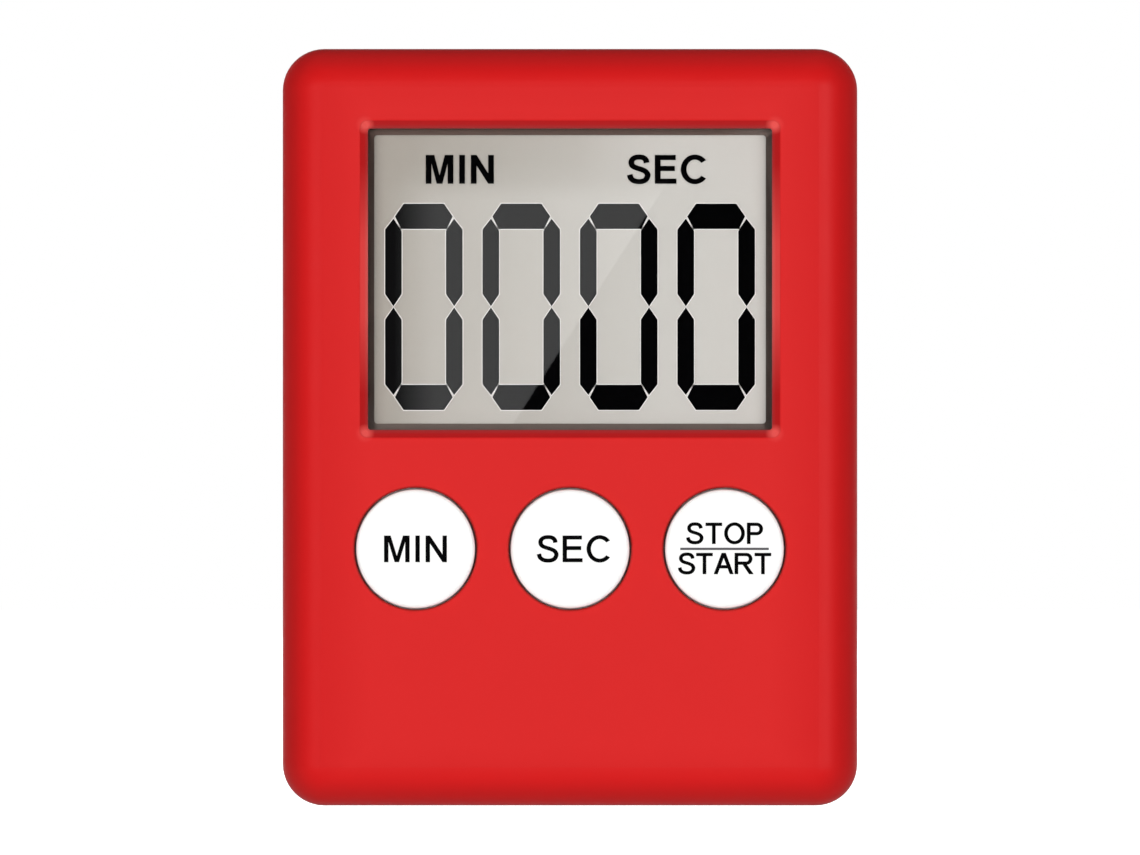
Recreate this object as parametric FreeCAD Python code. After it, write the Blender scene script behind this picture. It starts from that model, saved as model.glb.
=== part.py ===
"""Digital kitchen timer: four-digit display, three push keys, a fold-out stand and a sliding battery door.

Row frame, millimetres: +X to the right seen from the front, +Y from the front face to the back, +Z up.
The origin is on the floor under the middle of the case. At rest the stand is folded and the door is shut.
Each function makes one sub-part or one group of like sub-parts; write_parts() exports one STEP per node.
"""

import FreeCAD, Part
import math
import os

from FreeCAD import Vector

# ---------------------------------------------------------------- driving dimensions
CASE_W, CASE_H, CASE_D = 65.0, 85.6, 15.0
KEY_PROUD, MAGNET_PROUD = 0.8, 0.2
CORNER_R, FRONT_EDGE_R, REAR_EDGE_R = 4.7, 4.5, 2.0
SIDE_WALL, FRONT_WALL, REAR_WALL = 1.6, 1.8, 1.4
REAR_SHELL_D = 4.0
SEAM_CHAMFER, RIM_R = 0.2, 0.25
FIT_GAP = 0.15
SIDES = (-1, 1)
OVERLAP = 0.1
PLANE_TOLERANCE = 1e-4

TOTAL_D = CASE_D + KEY_PROUD + MAGNET_PROUD
KEY_TOP_Y = -TOTAL_D / 2
FACE_Y = KEY_TOP_Y + KEY_PROUD
BACK_Y = FACE_Y + CASE_D
SEAM_Y = BACK_Y - REAR_SHELL_D
FRONT_INNER_Y = FACE_Y + FRONT_WALL
REAR_INNER_Y = BACK_Y - REAR_WALL
MID_Z = CASE_H / 2

# display window: the clear opening, the bevel round it, and the glass behind it
WINDOW_W, WINDOW_H, WINDOW_Z = 45.6, 34.0, 59.5
WINDOW_R, WINDOW_BEVEL, WINDOW_BEVEL_R, WINDOW_SINK = 0.3, 0.95, 0.9, 0.8
LENS_FLANGE_W, LENS_FLANGE_H, LENS_FLANGE_T = 49.0, 37.4, 0.8
LENS_FRONT_Y = FACE_Y + WINDOW_SINK
LENS_REAR_Y = FRONT_INNER_Y + LENS_FLANGE_T
MASK_OPEN_W, MASK_OPEN_H, MASK_T = 44.25, 32.6, 0.3
MASK_REAR_Y = LENS_REAR_Y + MASK_T

# liquid-crystal cell, front to back
GLASS_W, GLASS_TOP_Z, GLASS_T = 48.0, 78.6, 0.7
FRONT_GLASS_LOW_Z, REAR_GLASS_LOW_Z, ZEBRA_TOP_Z = 40.0, 43.0, 42.1
FRONT_POLARISER_T, SEAL_T, SEAL_WIDTH, REFLECTOR_T = 0.2, 0.1, 1.0, 0.25
POLARISER_Y = MASK_REAR_Y + 0.05
FRONT_GLASS_Y = POLARISER_Y + FRONT_POLARISER_T
SEAL_Y = FRONT_GLASS_Y + GLASS_T
REAR_GLASS_Y = SEAL_Y + SEAL_T
REFLECTOR_Y = REAR_GLASS_Y + GLASS_T
CELL_REAR_Y = REFLECTOR_Y + REFLECTOR_T

# keys
KEY_PITCH, KEY_Z, KEY_R, KEY_HOLE_R = 17.4, 29.1, 6.7, 6.87
KEY_TRAVEL = 0.8
KEY_EDGE_R = 0.5
KEY_FLANGE_R, KEY_FLANGE_T, KEY_STEM_R = 7.3, 0.8, 2.4
KEY_COLLAR_R, KEY_COLLAR_WALL, KEY_COLLAR_H = 7.5, 0.8, 2.4
KEY_TAB_W, KEY_TAB_REACH, KEY_TAB_GAP = 2.0, 0.6, 0.2
KEY_NAMES = ("minute", "second", "start_stop")
KEY_X = {name: (i - 1) * KEY_PITCH for i, name in enumerate(KEY_NAMES)}

# circuit board
BOARD_W, BOARD_LOW_Z, BOARD_TOP_Z, BOARD_T = 49.0, 19.6, 83.0, 1.0
BOARD_Y = 0.6
BOARD_REAR_Y = BOARD_Y + BOARD_T
BOARD_POSTS = [(s * x, z) for x, z in ((22.0, 20.9), (22.3, 37.2), (20.0, 81.4)) for s in (-1, 1)]
BOARD_POST_R, BOARD_SCREW_R = 1.6, 0.8

# keypad mat
MAT_W, MAT_LOW_Z, MAT_TOP_Z, MAT_T = 46.4, 22.8, 35.4, 0.8
DOME_TOP_Y, DOME_BASE_R = BOARD_Y - 2.8, 5.2
PILL_TOP_Y, PILL_T, PILL_R = BOARD_Y - 1.3, 0.4, 2.0
PAD_T, PAD_R = 0.05, 2.6

# battery bay: one AAA cell lying across the bottom
CELL_R, CELL_CAN_LENGTH, CELL_NUB_LENGTH, CELL_NUB_R = 5.25, 43.5, 1.0, 1.9
CELL_Y, CELL_Z, CELL_MINUS_X = 1.2, 10.6, -20.0
BAY_HALF, BAY_R, BAY_WALL = 25.2, 5.4, 1.0
CONTACT_T = 0.3
TAB_W, TAB_REACH, TAB_Y = 3.0, 2.2, -2.45

# battery door
DOOR_HALF, DOOR_TOP_Z, DOOR_T = 26.0, 18.4, 1.3
DOOR_FLANGE_REACH, DOOR_FLANGE_T, DOOR_FLANGE_TOP_Z = 1.2, 1.0, 17.0
DOOR_INNER_Y = BACK_Y - DOOR_T
DOOR_FLANGE_Y = REAR_INNER_Y - FIT_GAP - DOOR_FLANGE_T
DOOR_TRAVEL = 22.0

# stand
STAND_W, STAND_T, STAND_TIP_Z, STAND_TIP_R = 32.0, 2.4, 59.6, 5.0
HINGE_Y, HINGE_Z, BARREL_R, PIN_R, PIN_REACH = 6.3, 24.6, 1.4, 0.8, 1.6
STAND_OUTER_Y = HINGE_Y + BARREL_R
RECESS_GAP, RECESS_FLOOR_Y, RECESS_FLOOR_T = 0.35, 4.7, 1.0
RECESS_LOW_Z, RECESS_TOP_Z, SCOOP_HALF, SCOOP_TOP_Z = 22.6, 60.0, 8.0, 63.0
STAND_OPEN_DEG = 105.0

# magnets, buzzer and case screws
MAGNET_X, MAGNET_Z, MAGNET_R, MAGNET_T = 20.0, 72.0, 6.0, 2.0
MAGNET_Y = BACK_Y + MAGNET_PROUD - MAGNET_T
BUZZER_Z, BUZZER_R, BUZZER_T, BUZZER_CERAMIC_R = 74.2, 9.0, 0.2, 6.3
BUZZER_FRONT_Y = 4.7
BUZZER_CERAMIC_Y = BUZZER_FRONT_Y - 0.22
SOUND_HOLE_R, SOUND_RING_R = 0.7, 3.6
CASE_SCREWS = [(s * (CASE_W / 2 - CORNER_R), z) for z in (CASE_H - CORNER_R, HINGE_Z) for s in (-1, 1)]
CASE_BOSS_R, CASE_SCREW_R, CASE_HEAD_R, CASE_HEAD_T = 2.2, 1.0, 1.9, 1.4
HEAD_SEAT_Y = BACK_Y - 2.4
PILOT_GAP = 0.02


# ---------------------------------------------------------------- shape helpers
def box(x0, x1, y0, y1, z0, z1):
    """An axis-aligned block between two corners."""
    return Part.makeBox(x1 - x0, y1 - y0, z1 - z0, Vector(x0, y0, z0))


def rim_edges(shape, y, half_w, half_h):
    """The edges in one XZ plane near the case's middle, which leaves out its outer edge."""
    def inside(bounds):
        reach_z = max(MID_Z - bounds.ZMin, bounds.ZMax - MID_Z)
        return max(-bounds.XMin, bounds.XMax) < half_w and reach_z < half_h
    return [edge for edge in flat_edges(shape, "Y", y) if inside(edge.BoundBox)]


def side_box(side, x0, x1, y0, y1, z0, z1):
    """A block given for the right side, or its mirror image on the left when side is -1."""
    low, high = sorted((side * x0, side * x1))
    return box(low, high, y0, y1, z0, z1)


def rod_y(x, z, radius, y0, y1):
    """A cylinder along Y."""
    return Part.makeCylinder(radius, y1 - y0, Vector(x, y0, z), Vector(0, 1, 0))


def rod_x(y, z, radius, x0, x1):
    """A cylinder along X."""
    return Part.makeCylinder(radius, x1 - x0, Vector(x0, y, z), Vector(1, 0, 0))


def rounded_outline(width, height, radii, y, x=0.0, z=0.0):
    """A closed wire in an XZ plane, centred on (x, z).

    radii is one radius, or one for each corner: low left, low right, top right, top left.
    """
    if not isinstance(radii, (list, tuple)):
        radii = [radii] * 4
    corners = [(-1, -1), (1, -1), (1, 1), (-1, 1)]
    leaving = [(1, 0), (0, 1), (-1, 0), (0, -1)]
    edges, ends = [], []
    for (sx, sz), (dx, dz), (ax, az), r in zip(corners, leaving, leaving[-1:] + leaving[:-1], radii):
        cx, cz = x + sx * width / 2, z + sz * height / 2
        start = Vector(cx - ax * r, y, cz - az * r)
        end = Vector(cx + dx * r, y, cz + dz * r)
        ends.append((start, end))
        if r > 0:
            centre = Vector(cx - sx * r, y, cz - sz * r)
            middle = centre + Vector(sx, 0, sz) * (r / math.sqrt(2))
            edges.append(Part.Arc(start, middle, end).toShape())
    for i, (_, end) in enumerate(ends):
        edges.append(Part.makeLine(end, ends[(i + 1) % 4][0]))
    return Part.Wire(Part.__sortEdges__(edges))


def slab(width, height, radii, y0, y1, x=0.0, z=0.0):
    """A plate across Y with rounded corners."""
    return Part.Face(rounded_outline(width, height, radii, y0, x, z)).extrude(Vector(0, y1 - y0, 0))


def turned(profile, x, z):
    """A solid of revolution about the Y line through (x, z), from a closed profile of (radius, y) points."""
    points = [Vector(x + r, y, z) for r, y in profile]
    face = Part.Face(Part.makePolygon(points + points[:1]))
    return face.revolve(Vector(x, 0, z), Vector(0, 1, 0), 360)


def united(shapes):
    """One shape from several, with shared faces merged away."""
    first, *rest = shapes
    return (first.multiFuse(rest) if rest else first).removeSplitter()


def without(shape, cutters):
    """The shape less every cutter."""
    return shape.cut(Part.makeCompound(cutters)) if cutters else shape


def flat_edges(shape, axis, at):
    """The edges that lie in the plane where one coordinate, X, Y or Z, has one value."""
    def within(edge):
        bounds = [getattr(edge.BoundBox, axis + end) for end in ("Min", "Max")]
        return all(abs(bound - at) < PLANE_TOLERANCE for bound in bounds)
    return [edge for edge in shape.Edges if within(edge)]


def group(shapes):
    """Separate solids that share one node."""
    return Part.makeCompound([solid for shape in shapes for solid in shape.Solids])


def tube_along(points, radius):
    """A round tube along straight runs joined by tangent arcs, each as large as its two runs allow."""
    points = [Vector(*p) for p in points]
    edges, last = [], points[0]
    for before, here, after in zip(points, points[1:], points[2:]):
        inward, outward = (here - before).normalize(), (after - here).normalize()
        turn = inward.getAngle(outward)
        shorter = min((here - before).Length, (after - here).Length)
        cut = 0.45 * shorter
        bend = cut / math.tan(turn / 2)
        start, end = here - inward * cut, here + outward * cut
        to_centre = (outward - inward).normalize()
        centre = here + to_centre * math.hypot(cut, bend)
        middle = centre - to_centre * bend
        edges += [Part.makeLine(last, start), Part.Arc(start, middle, end).toShape()]
        last = end
    edges.append(Part.makeLine(last, points[-1]))
    profile = Part.Wire(Part.makeCircle(radius, points[0], points[1] - points[0]))
    return Part.Wire(edges).makePipeShell([profile], True, False)


# ---------------------------------------------------------------- case
def case_block(y0, y1, inset=0.0, corner_r=CORNER_R):
    """The case's outline, inset all round, between two depths."""
    return slab(CASE_W - 2 * inset, CASE_H - 2 * inset, corner_r - inset, y0, y1, 0, MID_Z)


def outer_body():
    """The whole case as one rounded block, before it is parted and hollowed."""
    block = case_block(FACE_Y, BACK_Y)
    block = block.makeFillet(FRONT_EDGE_R, flat_edges(block, "Y", FACE_Y))
    return block.makeFillet(REAR_EDGE_R, flat_edges(block, "Y", BACK_Y))


def seam_groove():
    """A shallow V round the joint between the two shells."""
    depth, spill = SEAM_CHAMFER, 0.01
    front, rear = [rounded_outline(CASE_W + 2 * spill, CASE_H + 2 * spill, CORNER_R + spill,
                                   SEAM_Y + side * depth, 0, MID_Z) for side in SIDES]
    waist = rounded_outline(CASE_W - 2 * depth, CASE_H - 2 * depth, CORNER_R - depth, SEAM_Y, 0, MID_Z)
    core = united([Part.makeLoft([front, waist], True), Part.makeLoft([waist, rear], True)])
    return case_block(SEAM_Y - depth, SEAM_Y + depth, -1.0).cut(core)


def window_cutter():
    """The display opening with its bevel down from the front face."""
    above = 0.5
    grow = 1 + above / WINDOW_SINK
    flare = WINDOW_BEVEL * grow
    wide_r = WINDOW_R + (WINDOW_BEVEL_R - WINDOW_R) * grow
    wide = rounded_outline(WINDOW_W + 2 * flare, WINDOW_H + 2 * flare, wide_r, FACE_Y - above, 0, WINDOW_Z)
    narrow = rounded_outline(WINDOW_W, WINDOW_H, WINDOW_R, LENS_FRONT_Y, 0, WINDOW_Z)
    opening = slab(WINDOW_W, WINDOW_H, WINDOW_R, LENS_FRONT_Y, FRONT_INNER_Y + OVERLAP, 0, WINDOW_Z)
    return united([Part.makeLoft([wide, narrow], True), opening])


def key_collar(x):
    """The guide ring inside the front wall, with the slot that stops its key turning."""
    outer, end_y = KEY_COLLAR_R + KEY_COLLAR_WALL, FRONT_INNER_Y + KEY_COLLAR_H
    ring = rod_y(x, KEY_Z, outer, FRONT_INNER_Y - OVERLAP, end_y)
    bore = rod_y(x, KEY_Z, KEY_COLLAR_R, FRONT_INNER_Y, end_y + OVERLAP)
    half = KEY_TAB_W / 2 + KEY_TAB_GAP
    slot = box(x - half, x + half, FRONT_INNER_Y, end_y + OVERLAP, KEY_Z - outer - 1, KEY_Z)
    return ring.cut(bore).cut(slot)


def lens_rib():
    """The low frame inside the front wall that locates the window."""
    width, height, wall = LENS_FLANGE_W + 0.2, LENS_FLANGE_H + 0.2, 1.0
    end_y = LENS_REAR_Y + 0.2
    frame = slab(width + 2 * wall, height + 2 * wall, 0.8, FRONT_INNER_Y - OVERLAP, end_y, 0, WINDOW_Z)
    return frame.cut(slab(width, height, 0, FRONT_INNER_Y - 1, end_y + 1, 0, WINDOW_Z))


def boss_rib(x, z):
    """A rib from a screw boss to the nearer side wall, starting behind the rounded front edge."""
    side, half_t, wall_x = math.copysign(1, x), 0.6, CASE_W / 2 - SIDE_WALL / 2
    front_y = FACE_Y + 0.75 * FRONT_EDGE_R
    return side_box(side, abs(x), wall_x, front_y, SEAM_Y - 1.5, z - half_t, z + half_t)


def front_case():
    """Front shell: face, side walls, window recess, key holes, screw bosses and board posts."""
    shell = outer_body().common(box(-CASE_W, CASE_W, FACE_Y - 1, SEAM_Y, -1, CASE_H + 1))
    hollow = case_block(FRONT_INNER_Y, SEAM_Y + 1, SIDE_WALL)
    shell = shell.cut(hollow.makeFillet(FRONT_EDGE_R - SIDE_WALL, flat_edges(hollow, "Y", FRONT_INNER_Y)))
    added = [lens_rib()] + [key_collar(x) for x in KEY_X.values()]
    added += [rod_y(x, z, BOARD_POST_R, FRONT_INNER_Y - OVERLAP, BOARD_Y) for x, z in BOARD_POSTS]
    added += [rod_y(x, z, CASE_BOSS_R, FRONT_INNER_Y - OVERLAP, SEAM_Y) for x, z in CASE_SCREWS]
    added += [boss_rib(x, z) for x, z in CASE_SCREWS]
    shell = united([shell] + added)
    cutters = [window_cutter(), seam_groove()]
    cutters += [rod_y(x, KEY_Z, KEY_HOLE_R, FACE_Y - 1, FRONT_INNER_Y + OVERLAP) for x in KEY_X.values()]
    cutters += [rod_y(x, KEY_Z, KEY_COLLAR_R, FRONT_INNER_Y, BOARD_Y) for x in KEY_X.values()]
    cutters += [rod_y(x, z, BOARD_SCREW_R + PILOT_GAP, BOARD_Y - 4.5, BOARD_Y + 1) for x, z in BOARD_POSTS]
    cutters += [rod_y(x, z, CASE_SCREW_R + PILOT_GAP, SEAM_Y - 7.0, SEAM_Y + 1) for x, z in CASE_SCREWS]
    shell = without(shell, cutters)
    rims = rim_edges(shell, FACE_Y, CASE_W / 2 - FRONT_EDGE_R - 1, MID_Z - FRONT_EDGE_R - 1)
    return shell.makeFillet(RIM_R, rims)


def door_zone(gap):
    """The space of the battery door, widened all round by a gap: plate, side flanges and bottom return."""
    half, flange = DOOR_HALF + gap, DOOR_HALF + DOOR_FLANGE_REACH + gap
    flange_end_y = DOOR_FLANGE_Y + DOOR_FLANGE_T + gap
    plate = box(-half, half, DOOR_FLANGE_Y, BACK_Y + 1, -1, DOOR_TOP_Z + gap)
    rails = box(-flange, flange, DOOR_FLANGE_Y - gap, flange_end_y, -1, DOOR_FLANGE_TOP_Z + gap)
    foot = box(-flange, flange, SEAM_Y - 1.2, flange_end_y, -1, SIDE_WALL + gap)
    return united([plate, rails, foot])


def bay_outside():
    """The outer form of the battery tub."""
    half, radius = BAY_HALF + BAY_WALL, BAY_R + BAY_WALL
    return united([rod_x(CELL_Y, CELL_Z, radius, -half, half),
                   box(-half, half, CELL_Y, REAR_INNER_Y, CELL_Z - radius, CELL_Z + radius)])


def bay_inside():
    """The space that holds the cell and its contacts, open to the door."""
    return united([rod_x(CELL_Y, CELL_Z, BAY_R, -BAY_HALF, BAY_HALF),
                   box(-BAY_HALF, BAY_HALF, CELL_Y, BACK_Y, CELL_Z - BAY_R, CELL_Z + BAY_R)])


def tab_slots():
    """The slots in the tub's ends that the contacts' solder tabs pass through."""
    half, gap = TAB_W / 2 + 0.2, 0.25
    inner, outer = BAY_HALF - OVERLAP, BAY_HALF + BAY_WALL + OVERLAP
    return [side_box(side, inner, outer, TAB_Y - gap, TAB_Y + CONTACT_T + gap, CELL_Z - half, CELL_Z + half)
            for side in SIDES]


def stand_recess(extra=0.0):
    """The pocket for the folded stand and the fingertip scoop above its tip.

    With an extra it is the block that leaves walls of that thickness round the pocket.
    """
    low, top = RECESS_LOW_Z - extra, RECESS_TOP_Z + extra
    width, tip_r = STAND_W + 2 * (RECESS_GAP + extra), STAND_TIP_R + RECESS_GAP + extra
    floor = RECESS_FLOOR_Y - extra
    back = REAR_INNER_Y + OVERLAP if extra else BACK_Y + 1
    pocket = slab(width, top - low, [0.4, 0.4, tip_r, tip_r], floor, back, 0, (low + top) / 2)
    scoop_top, scoop_low = SCOOP_TOP_Z + extra, RECESS_TOP_Z - 4.0
    scoop_w, scoop_h = 2 * (SCOOP_HALF + extra), scoop_top - scoop_low
    return united([pocket, slab(scoop_w, scoop_h, 2.4, floor, back, 0, scoop_low + scoop_h / 2)])


def hinge_ears():
    """The blocks beside the recess that hold the stand's pins."""
    inner = STAND_W / 2 + RECESS_GAP
    return [side_box(side, inner, inner + 2.6, RECESS_FLOOR_Y - RECESS_FLOOR_T, REAR_INNER_Y + OVERLAP,
                     RECESS_LOW_Z - RECESS_FLOOR_T, HINGE_Z + 2.4) for side in SIDES]


def rear_lip():
    """The tongue that fits inside the front shell's rim, open where the battery door is."""
    outer = case_block(SEAM_Y - 1.0, SEAM_Y + 0.1, SIDE_WALL + 0.1)
    inner = case_block(SEAM_Y - 1.1, SEAM_Y + 0.2, SIDE_WALL + 0.9)
    return outer.cut(inner)


def door_rails():
    """The ledge above the bay and the two rails that the battery door's flanges run in."""
    outer = DOOR_HALF + DOOR_FLANGE_REACH + FIT_GAP + 1.1
    back, top = REAR_INNER_Y + OVERLAP, DOOR_TOP_Z + 1.2
    rails = [side_box(side, BAY_HALF + OVERLAP, outer, SEAM_Y + FIT_GAP, back, SIDE_WALL + 0.4, top)
             for side in SIDES]
    return rails + [box(-outer, outer, 4.4, back, CELL_Z + BAY_R + 0.2, top)]


def rear_blocks():
    """Everything that stands on the inside of the rear shell, before it is bored."""
    back = REAR_INNER_Y + OVERLAP
    blocks = [rear_lip(), bay_outside(), stand_recess(RECESS_FLOOR_T)] + door_rails() + hinge_ears()
    blocks += [rod_y(side * MAGNET_X, MAGNET_Z, MAGNET_R + 1.2, MAGNET_Y - 1.2, back) for side in SIDES]
    blocks += [rod_y(x, z, CASE_HEAD_R + 1.1, SEAM_Y + 0.05, back) for x, z in CASE_SCREWS]
    blocks.append(rod_y(0, BUZZER_Z, BUZZER_R + 0.6, BUZZER_FRONT_Y - OVERLAP, back))
    return blocks


def rear_bores():
    """Everything that is cut out of the rear shell."""
    bores = [bay_inside(), door_zone(FIT_GAP), stand_recess(), seam_groove()] + tab_slots()
    bores.append(rod_y(0, BUZZER_Z, BUZZER_R + 0.1, BUZZER_FRONT_Y - 1, BUZZER_FRONT_Y + BUZZER_T))
    bores.append(rod_y(0, BUZZER_Z, BUZZER_R - 1.0, BUZZER_FRONT_Y - 1, REAR_INNER_Y))
    bores += [rod_y(x, z, SOUND_HOLE_R, REAR_INNER_Y - OVERLAP, BACK_Y + 1) for x, z in sound_holes()]
    bores += [rod_y(side * MAGNET_X, MAGNET_Z, MAGNET_R + 0.1, MAGNET_Y, BACK_Y + 1) for side in SIDES]
    pin_half = STAND_W / 2 + PIN_REACH + 0.2
    bores.append(rod_x(HINGE_Y, HINGE_Z, PIN_R + 0.05, -pin_half, pin_half))
    bores += [rod_y(x, z, CASE_SCREW_R + 0.1, SEAM_Y - 1, BACK_Y) for x, z in CASE_SCREWS]
    bores += [rod_y(x, z, CASE_HEAD_R + 0.2, HEAD_SEAT_Y, BACK_Y + 1) for x, z in CASE_SCREWS]
    return bores


def rear_case():
    """Rear shell: back plate, battery tub with door rails, stand recess, magnet pockets and buzzer seat."""
    rim = outer_body().common(box(-CASE_W, CASE_W, SEAM_Y, BACK_Y + 1, -1, CASE_H + 1))
    shell = rim.cut(case_block(SEAM_Y - 1, REAR_INNER_Y, SIDE_WALL))
    shell = without(united([shell] + rear_blocks()), rear_bores())
    rims = rim_edges(shell, BACK_Y, CASE_W / 2 - REAR_EDGE_R - 0.01, MID_Z - REAR_EDGE_R - 0.01)
    return shell.makeFillet(RIM_R, [edge for edge in rims if edge.BoundBox.ZMin > DOOR_TOP_Z + 1])


def sound_holes():
    """Centres of the buzzer's holes: one in the middle and six round it."""
    turns = [math.radians(60 * i) for i in range(6)]
    ring = [(SOUND_RING_R * math.cos(turn), BUZZER_Z + SOUND_RING_R * math.sin(turn)) for turn in turns]
    return [(0.0, BUZZER_Z)] + ring


def battery_door():
    """Sliding door: back plate, side flanges with latch nibs, bottom return, thumb scoop and arrow."""
    inside = box(-CASE_W, CASE_W, SEAM_Y + 0.1, BACK_Y + 1, -1, CASE_H)
    web = BAY_HALF + 0.2
    hollow = box(-web, web, SEAM_Y - 1, DOOR_INNER_Y, SIDE_WALL, CASE_H)
    door = outer_body().common(door_zone(0.0)).common(inside).cut(hollow).cut(seam_groove())
    scoop_z, scoop_y, rib_pitch = 10.2, BACK_Y - 0.7, 1.7
    door = door.cut(slab(16.0, 8.4, 3.0, scoop_y, BACK_Y + 1, 0, scoop_z))
    ribs = [slab(11.0, 0.8, 0.35, scoop_y - OVERLAP, BACK_Y - FIT_GAP, 0, scoop_z + rib_pitch * k)
            for k in (-1.5, -0.5, 0.5, 1.5)]
    nib_r, nib_z, nib_proud = 0.6, 12.0, 0.1
    nib_ends = (DOOR_HALF + 0.3, DOOR_HALF + DOOR_FLANGE_REACH - 0.2)
    nib_y = DOOR_FLANGE_Y - nib_proud + nib_r
    nibs = [rod_x(nib_y, nib_z, nib_r, *sorted(side * x for x in nib_ends)) for side in SIDES]
    tip_z, half, height, arrow_y = 3.0, 1.5, 1.7, BACK_Y - 0.3
    corners = ((0, tip_z), (half, tip_z + height), (-half, tip_z + height), (0, tip_z))
    triangle = Part.Face(Part.makePolygon([Vector(x, arrow_y, z) for x, z in corners]))
    door = united([door] + ribs + nibs).cut(triangle.extrude(Vector(0, 1, 0)))
    edges = [edge for axis, at in (("Z", DOOR_TOP_Z), ("X", -DOOR_HALF), ("X", DOOR_HALF))
             for edge in flat_edges(door, axis, at) if edge.BoundBox.YMin > BACK_Y - PLANE_TOLERANCE]
    return door.makeFillet(RIM_R, edges)


def stand():
    """Fold-out leg: plate with a rounded tip, hinge barrel and two trunnion pins."""
    height, groove = STAND_TIP_Z - HINGE_Z, 0.4
    plate = slab(STAND_W, height, [0, 0, STAND_TIP_R, STAND_TIP_R], STAND_OUTER_Y - STAND_T, STAND_OUTER_Y,
                 0, HINGE_Z + height / 2)
    tip_edges = [e for e in flat_edges(plate, "Y", STAND_OUTER_Y) if e.BoundBox.ZMax > HINGE_Z + 1]
    plate = plate.makeFillet(0.5, tip_edges)
    groove_y = STAND_OUTER_Y - groove
    panel_w, panel_h = STAND_W - 8.0, height - 16.0
    panel = slab(panel_w, panel_h, 2.0, groove_y, BACK_Y, 0, HINGE_Z + 4.0 + panel_h / 2)
    grips = [slab(12.0, 0.9, 0.4, groove_y, BACK_Y, 0, STAND_TIP_Z - 3.0 - 2.0 * k) for k in range(3)]
    pin_half = STAND_W / 2 + PIN_REACH
    barrel = rod_x(HINGE_Y, HINGE_Z, BARREL_R, -STAND_W / 2, STAND_W / 2)
    pins = rod_x(HINGE_Y, HINGE_Z, PIN_R, -pin_half, pin_half)
    return without(united([plate, barrel, pins]), [panel] + grips)


def magnets():
    """The two disc magnets, left and right."""
    made = {}
    for name, side in (("left_magnet", -1), ("right_magnet", 1)):
        disc = rod_y(side * MAGNET_X, MAGNET_Z, MAGNET_R, MAGNET_Y, MAGNET_Y + MAGNET_T)
        made[name] = disc.makeChamfer(0.25, flat_edges(disc, "Y", MAGNET_Y + MAGNET_T))
    return made


# ---------------------------------------------------------------- display
def display_lens():
    """Clear window: a flange behind the wall and a pad that fills the opening."""
    gap = 0.05
    width, height = WINDOW_W - 2 * gap, WINDOW_H - 2 * gap
    pad = slab(width, height, WINDOW_R - gap, LENS_FRONT_Y, LENS_REAR_Y, 0, WINDOW_Z)
    pad = pad.makeChamfer(0.1, flat_edges(pad, "Y", LENS_FRONT_Y))
    flange = slab(LENS_FLANGE_W, LENS_FLANGE_H, 0.8, FRONT_INNER_Y, LENS_REAR_Y, 0, WINDOW_Z)
    return united([pad, flange])


def display_mask():
    """Dark frame between the window and the glass."""
    outer = slab(LENS_FLANGE_W - 0.4, LENS_FLANGE_H - 0.4, 0.6, LENS_REAR_Y, MASK_REAR_Y, 0, WINDOW_Z)
    return outer.cut(slab(MASK_OPEN_W, MASK_OPEN_H, 0.4, LENS_REAR_Y - 1, MASK_REAR_Y + 1, 0, WINDOW_Z))


def glass_plate(low_z, y0, thickness, inset=0.0):
    """One flat layer of the liquid-crystal cell."""
    half = GLASS_W / 2 - inset
    return box(-half, half, y0, y0 + thickness, low_z + inset, GLASS_TOP_Z - inset)


def display_cell():
    """The layers of the liquid-crystal cell, front to back."""
    seal = glass_plate(REAR_GLASS_LOW_Z, SEAL_Y, SEAL_T)
    return {
        "front_polariser": glass_plate(FRONT_GLASS_LOW_Z, POLARISER_Y, FRONT_POLARISER_T, 0.5),
        "front_glass": glass_plate(FRONT_GLASS_LOW_Z, FRONT_GLASS_Y, GLASS_T),
        "cell_seal": seal.cut(glass_plate(REAR_GLASS_LOW_Z, SEAL_Y - 1, SEAL_T + 2, SEAL_WIDTH)),
        "rear_glass": glass_plate(REAR_GLASS_LOW_Z, REAR_GLASS_Y, GLASS_T),
        "rear_reflector": glass_plate(REAR_GLASS_LOW_Z, REFLECTOR_Y, REFLECTOR_T, 0.3),
    }


def display_holder():
    """White frame on the board that locates the glass and the rubber connector."""
    gap, wall, shelf = 0.1, 0.8, 1.5
    low, top, half = FRONT_GLASS_LOW_Z - gap, GLASS_TOP_Z + gap, GLASS_W / 2 + gap
    front, back, hole = POLARISER_Y - 1, BOARD_Y + 1, half - shelf
    body = box(-half - wall, half + wall, FRONT_GLASS_Y + gap, BOARD_Y, low - wall, top + wall)
    pocket = box(-half, half, front, CELL_REAR_Y + 0.02, low, top)
    middle = box(-hole, hole, front, back, REAR_GLASS_LOW_Z + shelf, GLASS_TOP_Z - shelf)
    strip_slot = box(-hole, hole, front, back, low, ZEBRA_TOP_Z + gap)
    return without(body, [pocket, middle, strip_slot])


def zebra_connector():
    """Rubber strip that joins the glass's contact ledge to the board."""
    half = GLASS_W / 2 - 2.0
    return box(-half, half, SEAL_Y, BOARD_Y, ZEBRA_TOP_Z - 2.0, ZEBRA_TOP_Z)


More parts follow.
